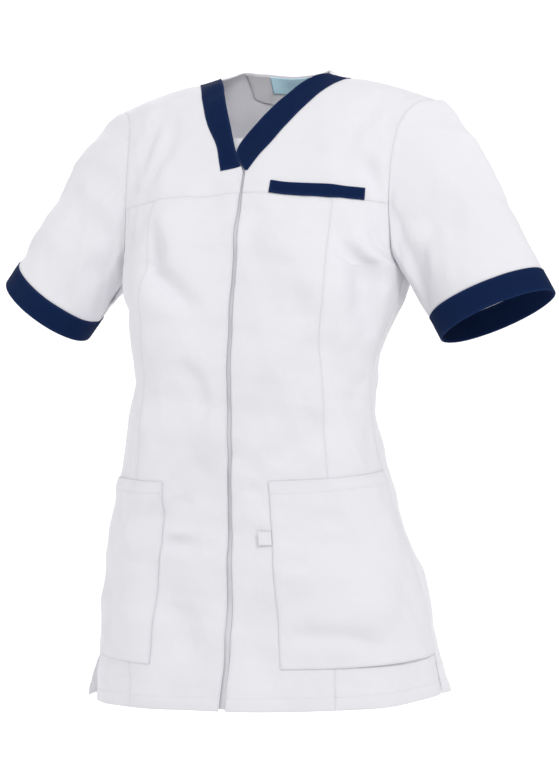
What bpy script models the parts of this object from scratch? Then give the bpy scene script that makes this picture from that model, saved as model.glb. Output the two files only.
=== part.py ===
"""A nurse's hip-length tunic, filled out with no wearer, as one wall of cloth for each sewn piece.

Metres, +Z up, front towards -Y, wearer's left towards +X. The origin is midway between the two
points where the shoulder seams meet the neck.

The body is one smooth surface. A place on it is given by its side (front or back), its share of
the way from the middle (0) to the wearer's left seam (1) or right seam (-1), and its tape: the
length measured down from the shoulder line.
"""

import math

import bmesh
import bpy
import numpy as np

# Cloth thickness and the gaps between pieces
WALL = 0.0018
TRIM_WALL = 0.0016
STRIP_WALL = 0.0012
SEAM_GAP = 0.0003
LAP_GAP = 0.0005

# Shoulder and neck
SHOULDER_DROP = 0.0275
SHOULDER_FLAT = 0.100
SHOULDER_END = 0.193
SHOULDER_CURVE = 1.3
NECK_RISE_REACH = 0.100
NECK_HALF = 0.065
NECK_BACK_TAPE = 0.060
NECK_BACK_CURVE = 0.85

# Tape at the underarm, and the height there
UNDERARM_TAPE = 0.235
UNDERARM_RISE = 0.020

# How much squarer than an ellipse each side is, and the bust
SQUARENESS = {"front": 0.05, "back": 0.05}
BUST = 0.015
BUST_SHARE = 0.43
BUST_SPREAD = 0.26
BUST_TAPE = 0.265
BUST_REACH = 0.075

# Side vents: where they start, and how far the back edge swings out
VENT_TAPE = 0.618
VENT_FLARES = {"left": 0.004, "right": 0.028}
VENT_FLARE_SHARE = 0.62
VENT_LENGTH = 0.11
VENT_GAP = 0.0015

# Body rings from the underarm to below the hem
RING = ("tape", "middle_x", "half_width", "side_y", "front_y", "back_y")
RINGS = (
    (0.235, 0.000, 0.166, -0.030, -0.127, 0.095),
    (0.270, 0.000, 0.160, -0.034, -0.133, 0.078),
    (0.310, -0.001, 0.147, -0.042, -0.139, 0.055),
    (0.355, -0.004, 0.1385, -0.048, -0.142, 0.038),
    (0.420, -0.009, 0.1465, -0.045, -0.138, 0.050),
    (0.495, -0.0115, 0.165, -0.032, -0.131, 0.078),
    (0.600, -0.0035, 0.1885, -0.018, -0.133, 0.106),
    (0.735, 0.000, 0.206, -0.010, -0.140, 0.122),
)

# Arches from the shoulder line to just above the underarm
ARCH = ("tape", "height", "drop", "lift", "edge_x", "edge_y", "centre_y", "turn")
SECTION = (*ARCH, "middle_x")
SHOULDER = (0.000, -0.0045, 1.00, 0.022, 0.193, 0.000, 0.000, 57)
ARCHES = {
    "front": (
        (0.020, -0.011, 0.92, 0.017, 0.182, -0.013, -0.021, 58),
        (0.045, -0.031, 0.75, 0.012, 0.169, -0.030, -0.044, 58),
        (0.080, -0.065, 0.45, 0.006, 0.1615, -0.046, -0.066, 58),
        (0.120, -0.104, 0.20, 0.000, 0.159, -0.056, -0.087, 58),
        (0.165, -0.148, 0.05, 0.000, 0.1585, -0.060, -0.106, 58),
        (0.205, -0.186, 0.00, 0.000, 0.160, -0.060, -0.119, 62),
        (0.225, -0.205, 0.00, 0.000, 0.1635, -0.048, -0.1245, 74),
    ),
    "back": (
        (0.020, -0.011, 0.96, 0.044, 0.190, 0.014, 0.030, 55),
        (0.045, -0.031, 0.88, 0.054, 0.186, 0.026, 0.050, 55),
        (0.080, -0.065, 0.70, 0.057, 0.181, 0.038, 0.068, 55),
        (0.120, -0.105, 0.45, 0.035, 0.175, 0.046, 0.080, 57),
        (0.165, -0.148, 0.20, 0.018, 0.167, 0.050, 0.090, 60),
        (0.205, -0.186, 0.05, 0.006, 0.162, 0.042, 0.094, 66),
        (0.225, -0.205, 0.00, 0.000, 0.163, 0.014, 0.095, 76),
    ),
}

# The front opening: sideways place of its middle, and its width
OPENING = ("tape", "middle", "width")
OPENINGS = (
    (0.104, -0.0128, 0.0008),
    (0.126, 0.0010, 0.0030),
    (0.170, 0.0025, 0.0036),
    (0.235, 0.0053, 0.0044),
    (0.310, 0.0055, 0.0044),
    (0.355, 0.0060, 0.0048),
    (0.420, 0.0050, 0.0044),
    (0.495, 0.0022, 0.0044),
    (0.600, 0.0027, 0.0062),
    (0.665, 0.0000, 0.0060),
    (0.735, -0.0053, 0.0086),
)

# Sideways places of the neck band's edges
TRIM = ("tape", "left_inner", "left_outer", "right_inner", "right_outer")
TRIMS = (
    (0.000, 0.0680, 0.0925, -0.0670, -0.0925),
    (0.025, 0.0470, 0.0800, -0.0530, -0.0805),
    (0.047, 0.0300, 0.0627, -0.0410, -0.0690),
    (0.075, 0.0085, 0.0430, -0.0270, -0.0545),
    (0.104, -0.0124, 0.0205, -0.0132, -0.0345),
    (0.126, 0.0025, 0.0050, -0.0005, -0.0272),
)
TRIM_END = 0.1255
YOKE_STEP = 0.0007

# Lines down the lower front, sideways: edges of the hip pockets and princess seams
LINE = ("tape", "left_pocket", "left_princess", "right_pocket", "right_princess")
LINES = (
    (0.140, 0.036, 0.105, -0.058, -0.105),
    (0.260, 0.037, 0.109, -0.062, -0.109),
    (0.320, 0.040, 0.104, -0.066, -0.104),
    (0.405, 0.044, 0.104, -0.072, -0.106),
    (0.469, 0.047, 0.107, -0.077, -0.110),
    (0.669, 0.062, 0.119, -0.0935, -0.122),
    (0.735, 0.066, 0.121, -0.098, -0.124),
)

# Lines across the lower front: tape at the middle, at the left side and at the right side
CROSS = ("middle", "left_side", "right_side")
CROSSES = (
    (0.150, 0.164, 0.164),
    (0.235, 0.235, 0.235),
    (0.469, 0.457, 0.469),
    (0.669, 0.657, 0.671),
    (0.7145, 0.700, 0.728),
)
CHEST_SEAM, UNDERARM, POCKET_TOP, POCKET_BOTTOM, HEM = range(5)

# Chest welt
WELT_HEIGHT = 0.014
WELT_INNER = 0.036
WELT_OUTER = 0.137

# The largest folds, as soft ridges (out) and troughs (in)
FOLD = ("side", "share", "tape", "end_share", "end_tape", "bow", "width", "depth")
GIRTH = 0.210
FOLD_FADE = 12
FOLDS = (
    ("front", -0.50, 0.050, -0.67, 0.140, 0.004, 0.015, -0.0035),
    ("front", -0.52, 0.180, -0.13, 0.285, -0.008, 0.016, -0.0045),
    ("front", 0.73, 0.048, 0.51, 0.128, 0.005, 0.015, -0.0030),
    ("front", 0.70, 0.112, 0.97, 0.152, 0.004, 0.012, -0.0025),
    ("front", 0.60, 0.190, 0.84, 0.315, -0.012, 0.017, -0.0055),
    ("front", 0.52, 0.393, 0.24, 0.446, 0.006, 0.014, -0.0035),
    ("front", -0.24, 0.335, -0.07, 0.400, 0.006, 0.013, -0.0030),
    ("front", -0.28, 0.540, -0.08, 0.541, 0.003, 0.010, -0.0030),
    ("front", 0.18, 0.640, 0.60, 0.640, 0.010, 0.012, -0.0025),
    ("back", -0.60, 0.090, -0.25, 0.160, 0.008, 0.022, -0.0040),
    ("back", 0.62, 0.100, 0.30, 0.175, -0.008, 0.020, -0.0035),
    ("back", -0.85, 0.300, -0.20, 0.345, 0.010, 0.018, -0.0045),
    ("back", 0.88, 0.320, 0.15, 0.375, -0.008, 0.018, -0.0050),
    ("back", -0.50, 0.400, 0.10, 0.425, 0.006, 0.016, -0.0035),
    ("back", 0.45, 0.520, 0.52, 0.690, 0.006, 0.030, 0.0050),
    ("back", -0.35, 0.500, -0.42, 0.700, -0.008, 0.030, 0.0055),
)

# Sleeves: middle and half axes of the cuff's lower edge, then in degrees how far that edge tilts up
# outwards, how far it dips at the back, and how steeply the sleeve runs down
SLEEVE = ("hand", "reach", "forward", "height", "half_width", "half_depth", "tilt", "dip", "slant")
SLEEVES = (
    (1, 0.2695, -0.020, -0.2700, 0.0680, 0.048, 23.5, 10.0, 60.0),
    (-1, 0.2800, -0.020, -0.2600, 0.0610, 0.048, 36.0, -7.0, 54.0),
)
SLEEVE_TURN_IN = 0.35
SLEEVE_FORWARD = -0.04
SLEEVE_ROOT_PULL = 0.50
SLEEVE_END_PULL = 0.95
CUFF_DEPTH = 0.028
TRIM_PROUD = 0.0004

# Cells of the walls' meshes
YOKE_COLUMNS = (2, 5, 2)
YOKE_ROWS = (0.0, 0.012, 0.026, 0.044, 0.064, 0.085, 0.104)
ARMHOLE_STEPS = (0.30, 0.58, 0.74, 0.87, 0.95)
BODY_ROWS = 11
POCKET_ROWS = 10
HEM_ROWS = 3
OPENING_COLUMNS = {"left": 3, "right": 5}
POCKET_COLUMNS = {"left": 4, "right": 2}
SIDE_COLUMNS = 6
BACK_NECK_COLUMNS = 5
BACK_COLUMNS = 8
BACK_LEVEL = 0.110
BACK_UPPER = (0.0, 0.14, 0.30, 0.48, 0.68, 0.86, 1.0)
BACK_ARMHOLE = (0.128, 0.147, 0.164, 0.185, 0.203, 0.216, 0.225, 0.231)
SLEEVE_ROWS = 9
FINE = 80

# Pieces inside the back's neck: rows down from its edge, and columns from its middle
LABEL_WALL = 0.0010
INSIDE = ("node", "rows", "first", "last", "layer")
INSIDES = (
    ("back_neck_facing", 4, 1 - BACK_NECK_COLUMNS, BACK_NECK_COLUMNS - 1, 0),
    ("neck_label", 3, -3, 2, 1),
    ("size_tab", 2, 3, 4, 1),
)

# Tab beside the left pocket: its tapes, and how far it lies from the pocket's edge
TAB_TAPES = (0.520, 0.5275, 0.535)
TAB_ASIDE = (0.015, 0.008, 0.001)

# Strip behind the opening
UNDERLAP_TOP = 0.090
UNDERLAP_HALF = 0.014
UNDERLAP_GAP = 0.0008

# Colours, roughness
WHITE = (0.86, 0.86, 0.88, 1.0)
INNER_WHITE = (0.80, 0.80, 0.83, 1.0)
NAVY = (0.008, 0.022, 0.068, 1.0)
PALE_BLUE = (0.55, 0.74, 0.86, 1.0)
CLOTH_ROUGHNESS = 0.85

# Step for slopes, rounds for places found by trial, and the closest that corners may lie
STEP = 1e-4
SOLVE_ROUNDS = 12
WELD = 1e-6


def lerp(low, high, share):
    """The value that lies a share of the way from low to high."""
    return low + (high - low) * share


def columns(names, rows):
    """A table's columns by name."""
    return {name: np.array(values, dtype=float) for name, values in zip(names, zip(*rows))}


def gentle_slopes(stations, values):
    """Slopes of a smooth curve that never swings past a table's values."""
    secants = np.diff(values) / np.diff(stations)
    before, after = secants[:-1], secants[1:]
    same_way = before * after > 0
    total = np.where(same_way, before + after, 1.0)
    middle = np.where(same_way, 2 * before * after / total, 0.0)
    return np.concatenate((secants[:1], middle, secants[-1:]))


def through(stations, values, at, slopes=None):
    """A smooth curve through a table's values."""
    at = np.clip(at, stations[0], stations[-1])
    if slopes is None:
        slopes = gentle_slopes(stations, values)
    low = np.clip(np.searchsorted(stations, at, side="right") - 1, 0, len(stations) - 2)
    width = stations[low + 1] - stations[low]
    share = (at - stations[low]) / width
    rest = 1 - share
    start = values[low] * (1 + 2 * share) * rest**2 + slopes[low] * width * share * rest**2
    end = values[low + 1] * (3 - 2 * share) * share**2 - slopes[low + 1] * width * rest * share**2
    return start + end


def body_sections(side):
    """The rows of one side from past the shoulder line to the hem."""
    other = "back" if side == "front" else "front"
    across = ARCHES[other][0]
    past_shoulder = (-across[0],) + across[1:]
    rows = [row + (0.0,) for row in (past_shoulder, SHOULDER, *ARCHES[side])]
    for tape, middle_x, half_width, side_y, front_y, back_y in RINGS:
        centre_y = front_y if side == "front" else back_y
        rows.append((tape, UNDERARM_RISE - tape, 0, 0, half_width, side_y, centre_y, 90, middle_x))
    table = columns(SECTION, rows)
    stations, rings = table["tape"], len(RINGS)
    for name in SECTION[1:]:
        slopes = gentle_slopes(stations, table[name])
        slopes[-rings:] = gentle_slopes(stations[-rings:], table[name][-rings:])
        table[name] = (table[name], slopes)
    return table


def section_value(side, name, tape):
    """One measure of the body's section at a tape."""
    table = SECTIONS[side]
    values, slopes = table[name]
    return through(table["tape"], values, tape, slopes)


SECTIONS = {side: body_sections(side) for side in ("front", "back")}
WORDS = {1: "left", -1: "right"}
OPENING_LINE = columns(OPENING, OPENINGS)
TRIM_LINE = columns(TRIM, TRIMS)
FRONT_LINE = columns(LINE, LINES)


def bump(offset):
    """A soft bell from 1 at zero to 0 far away."""
    return np.exp(-(offset**2))


def smooth_step(value):
    """0 below zero, 1 above one, smooth between."""
    value = np.clip(value, 0, 1)
    return value**2 * (3 - 2 * value)


def fold_relief(side, share, tape):
    """How far the largest folds move the cloth out."""
    relief = np.zeros(np.broadcast(share, tape).shape)
    for face, start, start_tape, end, end_tape, bow, width, depth in FOLDS:
        if face != side:
            continue
        run = np.array(((end - start) * GIRTH, end_tape - start_tape))
        length = np.hypot(*run)
        run = run / length
        across, down = (share - start) * GIRTH, tape - start_tape
        along = (across * run[0] + down * run[1]) / length
        inside = np.clip(4 * along * (1 - along), 0, None)
        aside = across * run[1] - down * run[0] - bow * inside
        relief = relief + depth * np.sqrt(inside) * bump(aside / width)
    return relief * (1 - np.clip(np.abs(share), 0, 1) ** FOLD_FADE)


def torso_point(side, share, tape):
    """A point of the body's outer surface."""
    section = {name: section_value(side, name, tape) for name in SECTION[1:]}
    turn = np.radians(section["turn"])
    swing = turn * share
    fullness = 1 + SQUARENESS[side] * np.sin(np.pi * share) ** 2
    x = section["edge_x"] * np.sin(swing) / np.sin(turn) * fullness
    bend = (np.cos(swing) - np.cos(turn)) / (1 - np.cos(turn)) * fullness
    y = lerp(section["edge_y"], section["centre_y"], bend)
    fall = np.clip((np.abs(x) - SHOULDER_FLAT) / (SHOULDER_END - SHOULDER_FLAT), 0, None)
    rise = np.clip(1 - (x / NECK_RISE_REACH) ** 2, 0, None) ** 2
    z = section["height"] + section["lift"] * rise
    z = z - section["drop"] * SHOULDER_DROP * fall**SHOULDER_CURVE
    front = side == "front"
    if front:
        aside = (np.abs(share) - BUST_SHARE) / BUST_SPREAD
        y = y - BUST * bump(aside) * bump((tape - BUST_TAPE) / BUST_REACH)
    else:
        swung = smooth_step((np.abs(share) - VENT_FLARE_SHARE) / (1 - VENT_FLARE_SHARE))
        flare = np.where(share > 0, VENT_FLARES["left"], -VENT_FLARES["right"])
        x = x + flare * swung * smooth_step((tape - VENT_TAPE) / VENT_LENGTH)
    relief = fold_relief(side, share, tape)
    x = x + relief * np.sin(swing) + section["middle_x"]
    y = y + relief * np.cos(swing) * (-1 if front else 1)
    return np.stack(np.broadcast_arrays(x, y, z), axis=-1)


def unit(vectors):
    """The vectors at length one."""
    return vectors / np.linalg.norm(vectors, axis=-1, keepdims=True)


def torso(side, share, tape):
    """Points of the body's outer surface with the directions that face out of it."""
    across = torso_point(side, share + STEP, tape) - torso_point(side, share - STEP, tape)
    down = torso_point(side, share, tape + STEP) - torso_point(side, share, tape - STEP)
    out = unit(np.cross(down, across) * (1 if side == "front" else -1))
    return torso_point(side, share, tape), out


def share_at(side, x, tape):
    """The share at which the surface is the distance x to the wearer's left of the middle."""
    edge = section_value(side, "edge_x", tape)
    turn = np.radians(section_value(side, "turn", tape))
    x = x - section_value(side, "middle_x", tape)
    share = x / edge
    for _ in range(SOLVE_ROUNDS):
        fullness = 1 + SQUARENESS[side] * np.sin(np.pi * share) ** 2
        share = np.arcsin(np.clip(x * np.sin(turn) / edge / fullness, -1, 1)) / turn
    return share


def opening_share(hand, tape):
    """The share at one edge of the front opening."""
    middle = through(OPENING_LINE["tape"], OPENING_LINE["middle"], tape)
    width = through(OPENING_LINE["tape"], OPENING_LINE["width"], tape)
    return share_at("front", middle + hand * width / 2, tape)


def trim_share(hand, edge, tape):
    """The share at an edge of the neck band."""
    x = through(TRIM_LINE["tape"], TRIM_LINE[f"{WORDS[hand]}_{edge}"], tape)
    return share_at("front", x, tape)


def front_share(hand, column, tape):
    """The share of a column line: 0 opening, 1 pocket edge, 2 princess seam, 3 side seam."""
    lines = [opening_share(hand, tape)]
    for name in ("pocket", "princess"):
        x = through(FRONT_LINE["tape"], FRONT_LINE[f"{WORDS[hand]}_{name}"], tape)
        lines.append(share_at("front", x, tape))
    lines.append(np.full(np.shape(tape), float(hand)))
    low = int(min(column, 2))
    return lerp(lines[low], lines[low + 1], column - low)


def cross_tape(row, share):
    """The tape of a line across: 0 chest seam, 1 underarm, 2 and 3 pocket, 4 hem."""
    middle, left, right = np.array(CROSSES).T
    low = int(min(row, HEM - 1))
    tapes = []
    for line in (low, low + 1):
        side = np.where(share > 0, left[line], right[line])
        tapes.append(lerp(middle[line], side, np.abs(share)))
    return lerp(tapes[0], tapes[1], row - low)


def front_grid(hand, column_list, row_list):
    """Shares and tapes where the column lines cross the lines across."""
    shares = np.zeros((len(row_list), len(column_list)))
    tapes = np.zeros_like(shares)
    for i, row in enumerate(row_list):
        for j, column in enumerate(column_list):
            tape = cross_tape(row, 0.0)
            for _ in range(SOLVE_ROUNDS):
                share = front_share(hand, column, tape)
                tape = cross_tape(row, share)
            shares[i, j], tapes[i, j] = share, tape
    return shares, tapes


def draw_in(points, *edges):
    """Move a panel's edges in by half a seam gap, so that neighbours stand a gap apart."""
    moved = points.copy()
    beside = {
        "top": ((0, slice(None)), (1, slice(None))),
        "bottom": ((-1, slice(None)), (-2, slice(None))),
        "first": ((slice(None), 0), (slice(None), 1)),
        "last": ((slice(None), -1), (slice(None), -2)),
    }
    for edge in edges:
        line, neighbour = beside[edge]
        moved[line] += unit(points[neighbour] - points[line]) * SEAM_GAP / 2
    return moved


def place(bm, points, row_of, column_of, vertices):
    """Put grid vertices at their points."""
    for vertex in vertices:
        vertex.co = points[vertex[row_of], vertex[column_of]]


def cloth(name, material, outer, inner, tube=False):
    """One closed wall of cloth between an outer and an inner grid of points."""
    rows, count = outer.shape[:2]
    bm = bmesh.new()
    bmesh.ops.create_grid(bm, x_segments=count - 1, y_segments=rows - 1, size=0.5)
    row_of = bm.verts.layers.int.new("row")
    column_of = bm.verts.layers.int.new("column")
    for vertex in bm.verts:
        vertex[row_of] = round((vertex.co.y + 0.5) * (rows - 1))
        vertex[column_of] = round((vertex.co.x + 0.5) * (count - 1))
    place(bm, outer, row_of, column_of, bm.verts)
    if tube:
        bmesh.ops.remove_doubles(bm, verts=bm.verts[:], dist=WELD)
    grown = bmesh.ops.extrude_face_region(bm, geom=bm.faces[:], use_keep_orig=True)
    added = [item for item in grown["geom"] if isinstance(item, bmesh.types.BMVert)]
    place(bm, inner, row_of, column_of, added)
    bm.verts.layers.int.remove(bm.verts.layers.int["row"])
    bm.verts.layers.int.remove(bm.verts.layers.int["column"])
    bmesh.ops.recalc_face_normals(bm, faces=bm.faces[:])
    mesh = bpy.data.meshes.new(name)
    bm.to_mesh(mesh)
    bm.free()
    mesh.materials.append(material)
    piece = bpy.data.objects.new(name, mesh)
    bpy.data.collections["nurse_tunic"].objects.link(piece)
    return piece


def layer(name, material, points, out, low, high):
    """A wall between two distances out from the body's surface."""
    return cloth(name, material, points + out * high, points + out * low)


def finish(name, colour):
    """A cloth material of one colour."""
    material = bpy.data.materials.new(name)
    material.use_nodes = True
    shader = material.node_tree.nodes["Principled BSDF"]
    shader.inputs["Base Color"].default_value = colour
    shader.inputs["Roughness"].default_value = CLOTH_ROUGHNESS
    shader.inputs["Metallic"].default_value = 0.0
    return material


def steps(start, end, count):
    """Evenly spaced values with both ends."""
    return [lerp(start, end, i / count) for i in range(count + 1)]


def body_rows():
    """The lines across a lower front, from the chest seam to the hem."""
    rows = [CHEST_SEAM, *ARMHOLE_STEPS]
    rows += steps(UNDERARM, POCKET_TOP, BODY_ROWS)
    rows += steps(POCKET_TOP, POCKET_BOTTOM, POCKET_ROWS)[1:]
    rows += steps(POCKET_BOTTOM, HEM, HEM_ROWS)[1:]
    return rows


def centre_columns(word):
    """The column lines of a centre front."""
    return steps(0, 1, OPENING_COLUMNS[word]) + steps(1, 2, POCKET_COLUMNS[word])[1:]


def side_columns():
    """The column lines of a side front."""
    return steps(2, 3, SIDE_COLUMNS)


def side_fronts(hand, word, material):
    """The centre front and the side front below the chest seam."""
    share, tape = front_grid(hand, centre_columns(word), body_rows())
    points, out = torso("front", share, tape)
    points = draw_in(points, "top", "last")
    layer(f"front_centre_{word}", material, points, out, -WALL, 0)
    share, tape = front_grid(hand, side_columns(), body_rows())
    points, out = torso("front", share, tape)
    points = draw_in(points, "top", "first", "last")
    vent = tape[:, -1] > VENT_TAPE
    points[vent, -1] += unit(points[vent, -2] - points[vent, -1]) * VENT_GAP
    layer(f"front_side_{word}", material, points, out, -WALL, 0)


def yoke_fractions(hand):
    """The yoke's columns, which pass through both ends of the chest welt."""
    seam = CROSSES[CHEST_SEAM][0]
    inner = opening_share(hand, seam)
    ends = [share_at("front", hand * x, seam) for x in (WELT_INNER, WELT_OUTER)]
    first, last = [float((end - inner) / (hand - inner)) for end in ends]
    inside, welt_wide, outside = YOKE_COLUMNS
    return steps(0, first, inside) + steps(first, last, welt_wide)[1:] + steps(last, 1, outside)[1:]


def yoke(hand, word, white, navy):
    """The front yoke, its neck band and, on the wearer's left, the chest welt."""
    fractions = yoke_fractions(hand)
    upper = np.array((*YOKE_ROWS, TRIM_END))
    lower_inner = opening_share(hand, TRIM_END + YOKE_STEP)
    rows = [lerp(trim_share(hand, "outer", t), hand, np.array(fractions)) for t in upper]
    tapes = [np.full(len(fractions), t) for t in upper]
    lower = lerp(lower_inner, hand, np.array(fractions))
    seam = cross_tape(CHEST_SEAM, lower)
    welt_top = seam - WELT_HEIGHT
    for step in (np.full_like(seam, TRIM_END + YOKE_STEP), welt_top, seam):
        rows.append(lerp(opening_share(hand, step), hand, np.array(fractions)))
        tapes.append(step)
    share, tape = np.array(rows), np.array(tapes)
    points, out = torso("front", share, tape)
    whole = points
    points = draw_in(points, "top", "bottom", "first", "last")
    layer(f"front_yoke_{word}", white, points, out, -WALL, 0)
    if hand > 0:
        welt(whole, out, navy)
    inner = [trim_share(hand, "inner", t) for t in upper]
    outer = [trim_share(hand, "outer", t) for t in upper]
    share = lerp(np.array(inner)[:, None], np.array(outer)[:, None], np.array((0, 0.5, 1))[None, :])
    tape = np.repeat(upper[:, None], 3, axis=1)
    points, out = torso("front", share, tape)
    points = draw_in(points, "top", "first", "last")
    layer(f"neck_trim_{word}", navy, points, out, TRIM_PROUD - TRIM_WALL, TRIM_PROUD)


def welt(points, out, navy):
    """The navy welt on the lowest strip of the yoke."""
    inside, welt_wide, _ = YOKE_COLUMNS
    area = (slice(-2, None), slice(inside, inside + welt_wide + 1))
    layer("chest_welt", navy, points[area], out[area], LAP_GAP, LAP_GAP + TRIM_WALL)


def pocket(hand, word, material):
    """A patch pocket on the centre and side fronts."""
    lines = steps(1, 2, POCKET_COLUMNS[word]) + steps(2, 3, SIDE_COLUMNS)[1:]
    share, tape = front_grid(hand, lines, steps(POCKET_TOP, POCKET_BOTTOM, POCKET_ROWS))
    points, out = torso("front", share, tape)
    points = draw_in(points, "last")
    layer(f"hip_pocket_{word}", material, points, out, LAP_GAP, LAP_GAP + STRIP_WALL)


def neckline_tape(x):
    """The tape of the back neckline, and 0 along the shoulders."""
    inside = np.clip(1 - (x / NECK_HALF) ** 2, 0, None)
    return NECK_BACK_TAPE * inside**NECK_BACK_CURVE


def back_columns():
    """Shares of the back's columns, which pass through both ends of the shoulder seams."""
    neck = float(share_at("back", NECK_HALF, 0.0))
    half = steps(0, neck, BACK_NECK_COLUMNS) + steps(neck, 1, BACK_COLUMNS)[1:]
    return np.array([-share for share in half[:0:-1]] + half)


def back_top(share):
    """The tape of the back's top edge."""
    tape = 0.0
    for _ in range(SOLVE_ROUNDS):
        x = torso_point("back", share, tape)[..., 0]
        tape = neckline_tape(x)
    return tape


def back_grid():
    """Shares and tapes of the whole back, neckline to hem."""
    share = back_columns()
    top = back_top(share)
    tapes = [lerp(top, BACK_LEVEL, step) for step in BACK_UPPER]
    tapes += [np.full_like(share, tape) for tape in BACK_ARMHOLE]
    tapes += [cross_tape(row, share) for row in body_rows() if row >= UNDERARM]
    return np.repeat(share[None, :], len(tapes), axis=0), np.array(tapes)


def back(material, label_material):
    """The back, with the facing inside its neck and the bare neck label and size tab on that."""
    points, out = torso("back", *back_grid())
    whole = points
    points = draw_in(points, "top", "first", "last")
    layer("back", material, points, out, -WALL, 0)
    middle = points.shape[1] // 2
    for name, rows, first, last, above in INSIDES:
        area = (slice(0, rows), slice(middle + first, middle + last + 1))
        inside = draw_in(whole[area], "top", "top", "first", "last")
        thick = LABEL_WALL if above else STRIP_WALL
        low = -WALL - LAP_GAP - STRIP_WALL - above * (LAP_GAP + LABEL_WALL)
        used = label_material if name == "neck_label" else material
        layer(name, used, inside, out[area], low, low + thick)


def underlap(material):
    """The strip behind the front opening."""
    upper = [UNDERLAP_TOP, YOKE_ROWS[-1], TRIM_END, CROSSES[CHEST_SEAM][0] - WELT_HEIGHT]
    lower = [float(cross_tape(row, 0.0)) for row in body_rows()[:-1]]
    tapes = np.array(upper + lower)
    middle = through(OPENING_LINE["tape"], OPENING_LINE["middle"], tapes)
    shares = [share_at("front", middle + aside, tapes) for aside in (-UNDERLAP_HALF, 0.0, UNDERLAP_HALF)]
    share = np.stack(shares, axis=1)
    points, out = torso("front", share, np.repeat(tapes[:, None], 3, axis=1))
    low = -WALL - UNDERLAP_GAP - STRIP_WALL
    layer("front_underlap", material, points, out, low, low + STRIP_WALL)


def side_tab(material):
    """The small tab in the inner edge of the wearer's left pocket."""
    tapes = np.array(TAB_TAPES)
    edge = through(FRONT_LINE["tape"], FRONT_LINE["left_pocket"], tapes)
    share = np.stack([share_at("front", edge - aside, tapes) for aside in TAB_ASIDE], axis=1)
    points, out = torso("front", share, np.repeat(tapes[:, None], 3, axis=1))
    layer("side_tab", material, points, out, LAP_GAP, LAP_GAP + LABEL_WALL)


def armhole_frame(hand, front_tapes, back_tapes):
    """The closed armhole from the underarm up the front and down the back.

    Gives its points, the way the body's surface runs on past it, and the way it faces.
    """
    points, onward, out = [], [], []
    for side, tapes in (("front", front_tapes[::-1]), ("back", back_tapes[1:])):
        share = np.full(len(tapes), float(hand))
        here, facing = torso(side, share, tapes)
        past = here - torso_point(side, share - hand * STEP, tapes)
        points.append(here)
        onward.append(unit(past))
        out.append(facing)
    return np.concatenate(points), np.concatenate(onward), np.concatenate(out)


def sleeve_ends(row):
    """The way a sleeve runs, and the middle and half axes of its lower edge."""
    hand, reach, forward, height, half_width, half_depth, tilt, dip, slant = row
    tilt, dip, slant = (math.radians(angle) for angle in (tilt, dip, slant))
    axis = unit(np.array((hand * math.cos(slant), SLEEVE_FORWARD, -math.sin(slant))))
    width = half_width * np.array((hand * math.cos(tilt), 0.0, math.sin(tilt)))
    depth = half_depth * np.array((0.0, math.cos(dip), -math.sin(dip)))
    return axis, np.array((hand * reach, forward, height)), width, depth


def sleeve_field(row, front_tapes, back_tapes):
    """The sleeve's surface as a function of the place along it, one curve for each armhole point.

    Also gives how far each curve turns off the body's surface, and the way that surface faces.
    """
    hand = row[0]
    points, onward, out = armhole_frame(hand, front_tapes, back_tapes)
    axis, middle, width, depth = sleeve_ends(row)
    turned = smooth_step(out @ axis / SLEEVE_TURN_IN)[:, None]
    start_way = unit(lerp(onward, axis[None, :], turned))
    start = points + SEAM_GAP * lerp(onward, out, turned)
    start[-1], start_way[-1] = start[0], start_way[0]
    lengths = np.linalg.norm(np.diff(points, axis=0), axis=1)
    run = np.concatenate(((0.0,), np.cumsum(lengths)))
    top = len(front_tapes) - 1
    around = np.where(run <= run[top], run / run[top] / 2, 0.5 + (run - run[top]) / (run[-1] - run[top]) / 2)
    angle = np.pi + 2 * np.pi * around
    end = middle + np.cos(angle)[:, None] * width + np.sin(angle)[:, None] * depth
    end[-1] = end[0]
    reach = np.linalg.norm(end - start, axis=1)[:, None]
    first = start_way * reach * SLEEVE_ROOT_PULL
    last = axis[None, :] * reach * SLEEVE_END_PULL

    def at(place):
        rest = 1 - place
        return (
            start * (1 + 2 * place) * rest**2
            + first * place * rest**2
            + end * (3 - 2 * place) * place**2
            - last * rest * place**2
        )

    return at, turned, out


def sleeve_walls(row, front_tapes, back_tapes, white, navy):
    """A sleeve and its cuff."""
    hand = row[0]
    word = WORDS[hand]
    at, turned, body_out = sleeve_field(row, front_tapes, back_tapes)
    fine = np.stack([at(place) for place in steps(0, 1, FINE)])
    travel = np.linalg.norm(np.diff(fine, axis=0), axis=2)
    travel = np.concatenate((np.zeros((1, fine.shape[1])), np.cumsum(travel, axis=0)))

    def ring(distance_from_end, share=None):
        rows = []
        for j in range(fine.shape[1]):
            total = travel[-1, j]
            goal = total - distance_from_end if share is None else share * (total - distance_from_end)
            rows.append([np.interp(goal, travel[:, j], fine[:, j, k]) for k in range(3)])
        return np.array(rows)

    body = np.stack([ring(CUFF_DEPTH + SEAM_GAP, step) for step in steps(0, 1, SLEEVE_ROWS)])
    cuff = np.stack([ring(CUFF_DEPTH * (1 - step)) for step in steps(0, 1, 2)])
    whole = np.concatenate((body, cuff))
    down = np.gradient(whole, axis=0)
    around = np.gradient(np.concatenate((whole[:, -2:-1], whole, whole[:, 1:2]), axis=1), axis=1)[:, 1:-1]
    out = unit(np.cross(down, around)) * hand
    out[0] = unit(lerp(body_out, out[0], turned))
    out[:, -1] = out[:, 0]
    for name, material, part, proud in (
        (f"sleeve_{word}", white, slice(0, len(body)), 0.0),
        (f"cuff_{word}", navy, slice(len(body), None), TRIM_PROUD),
    ):
        cloth(name, material, (whole + out * proud)[part], (whole - out * WALL)[part], tube=True)


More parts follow.
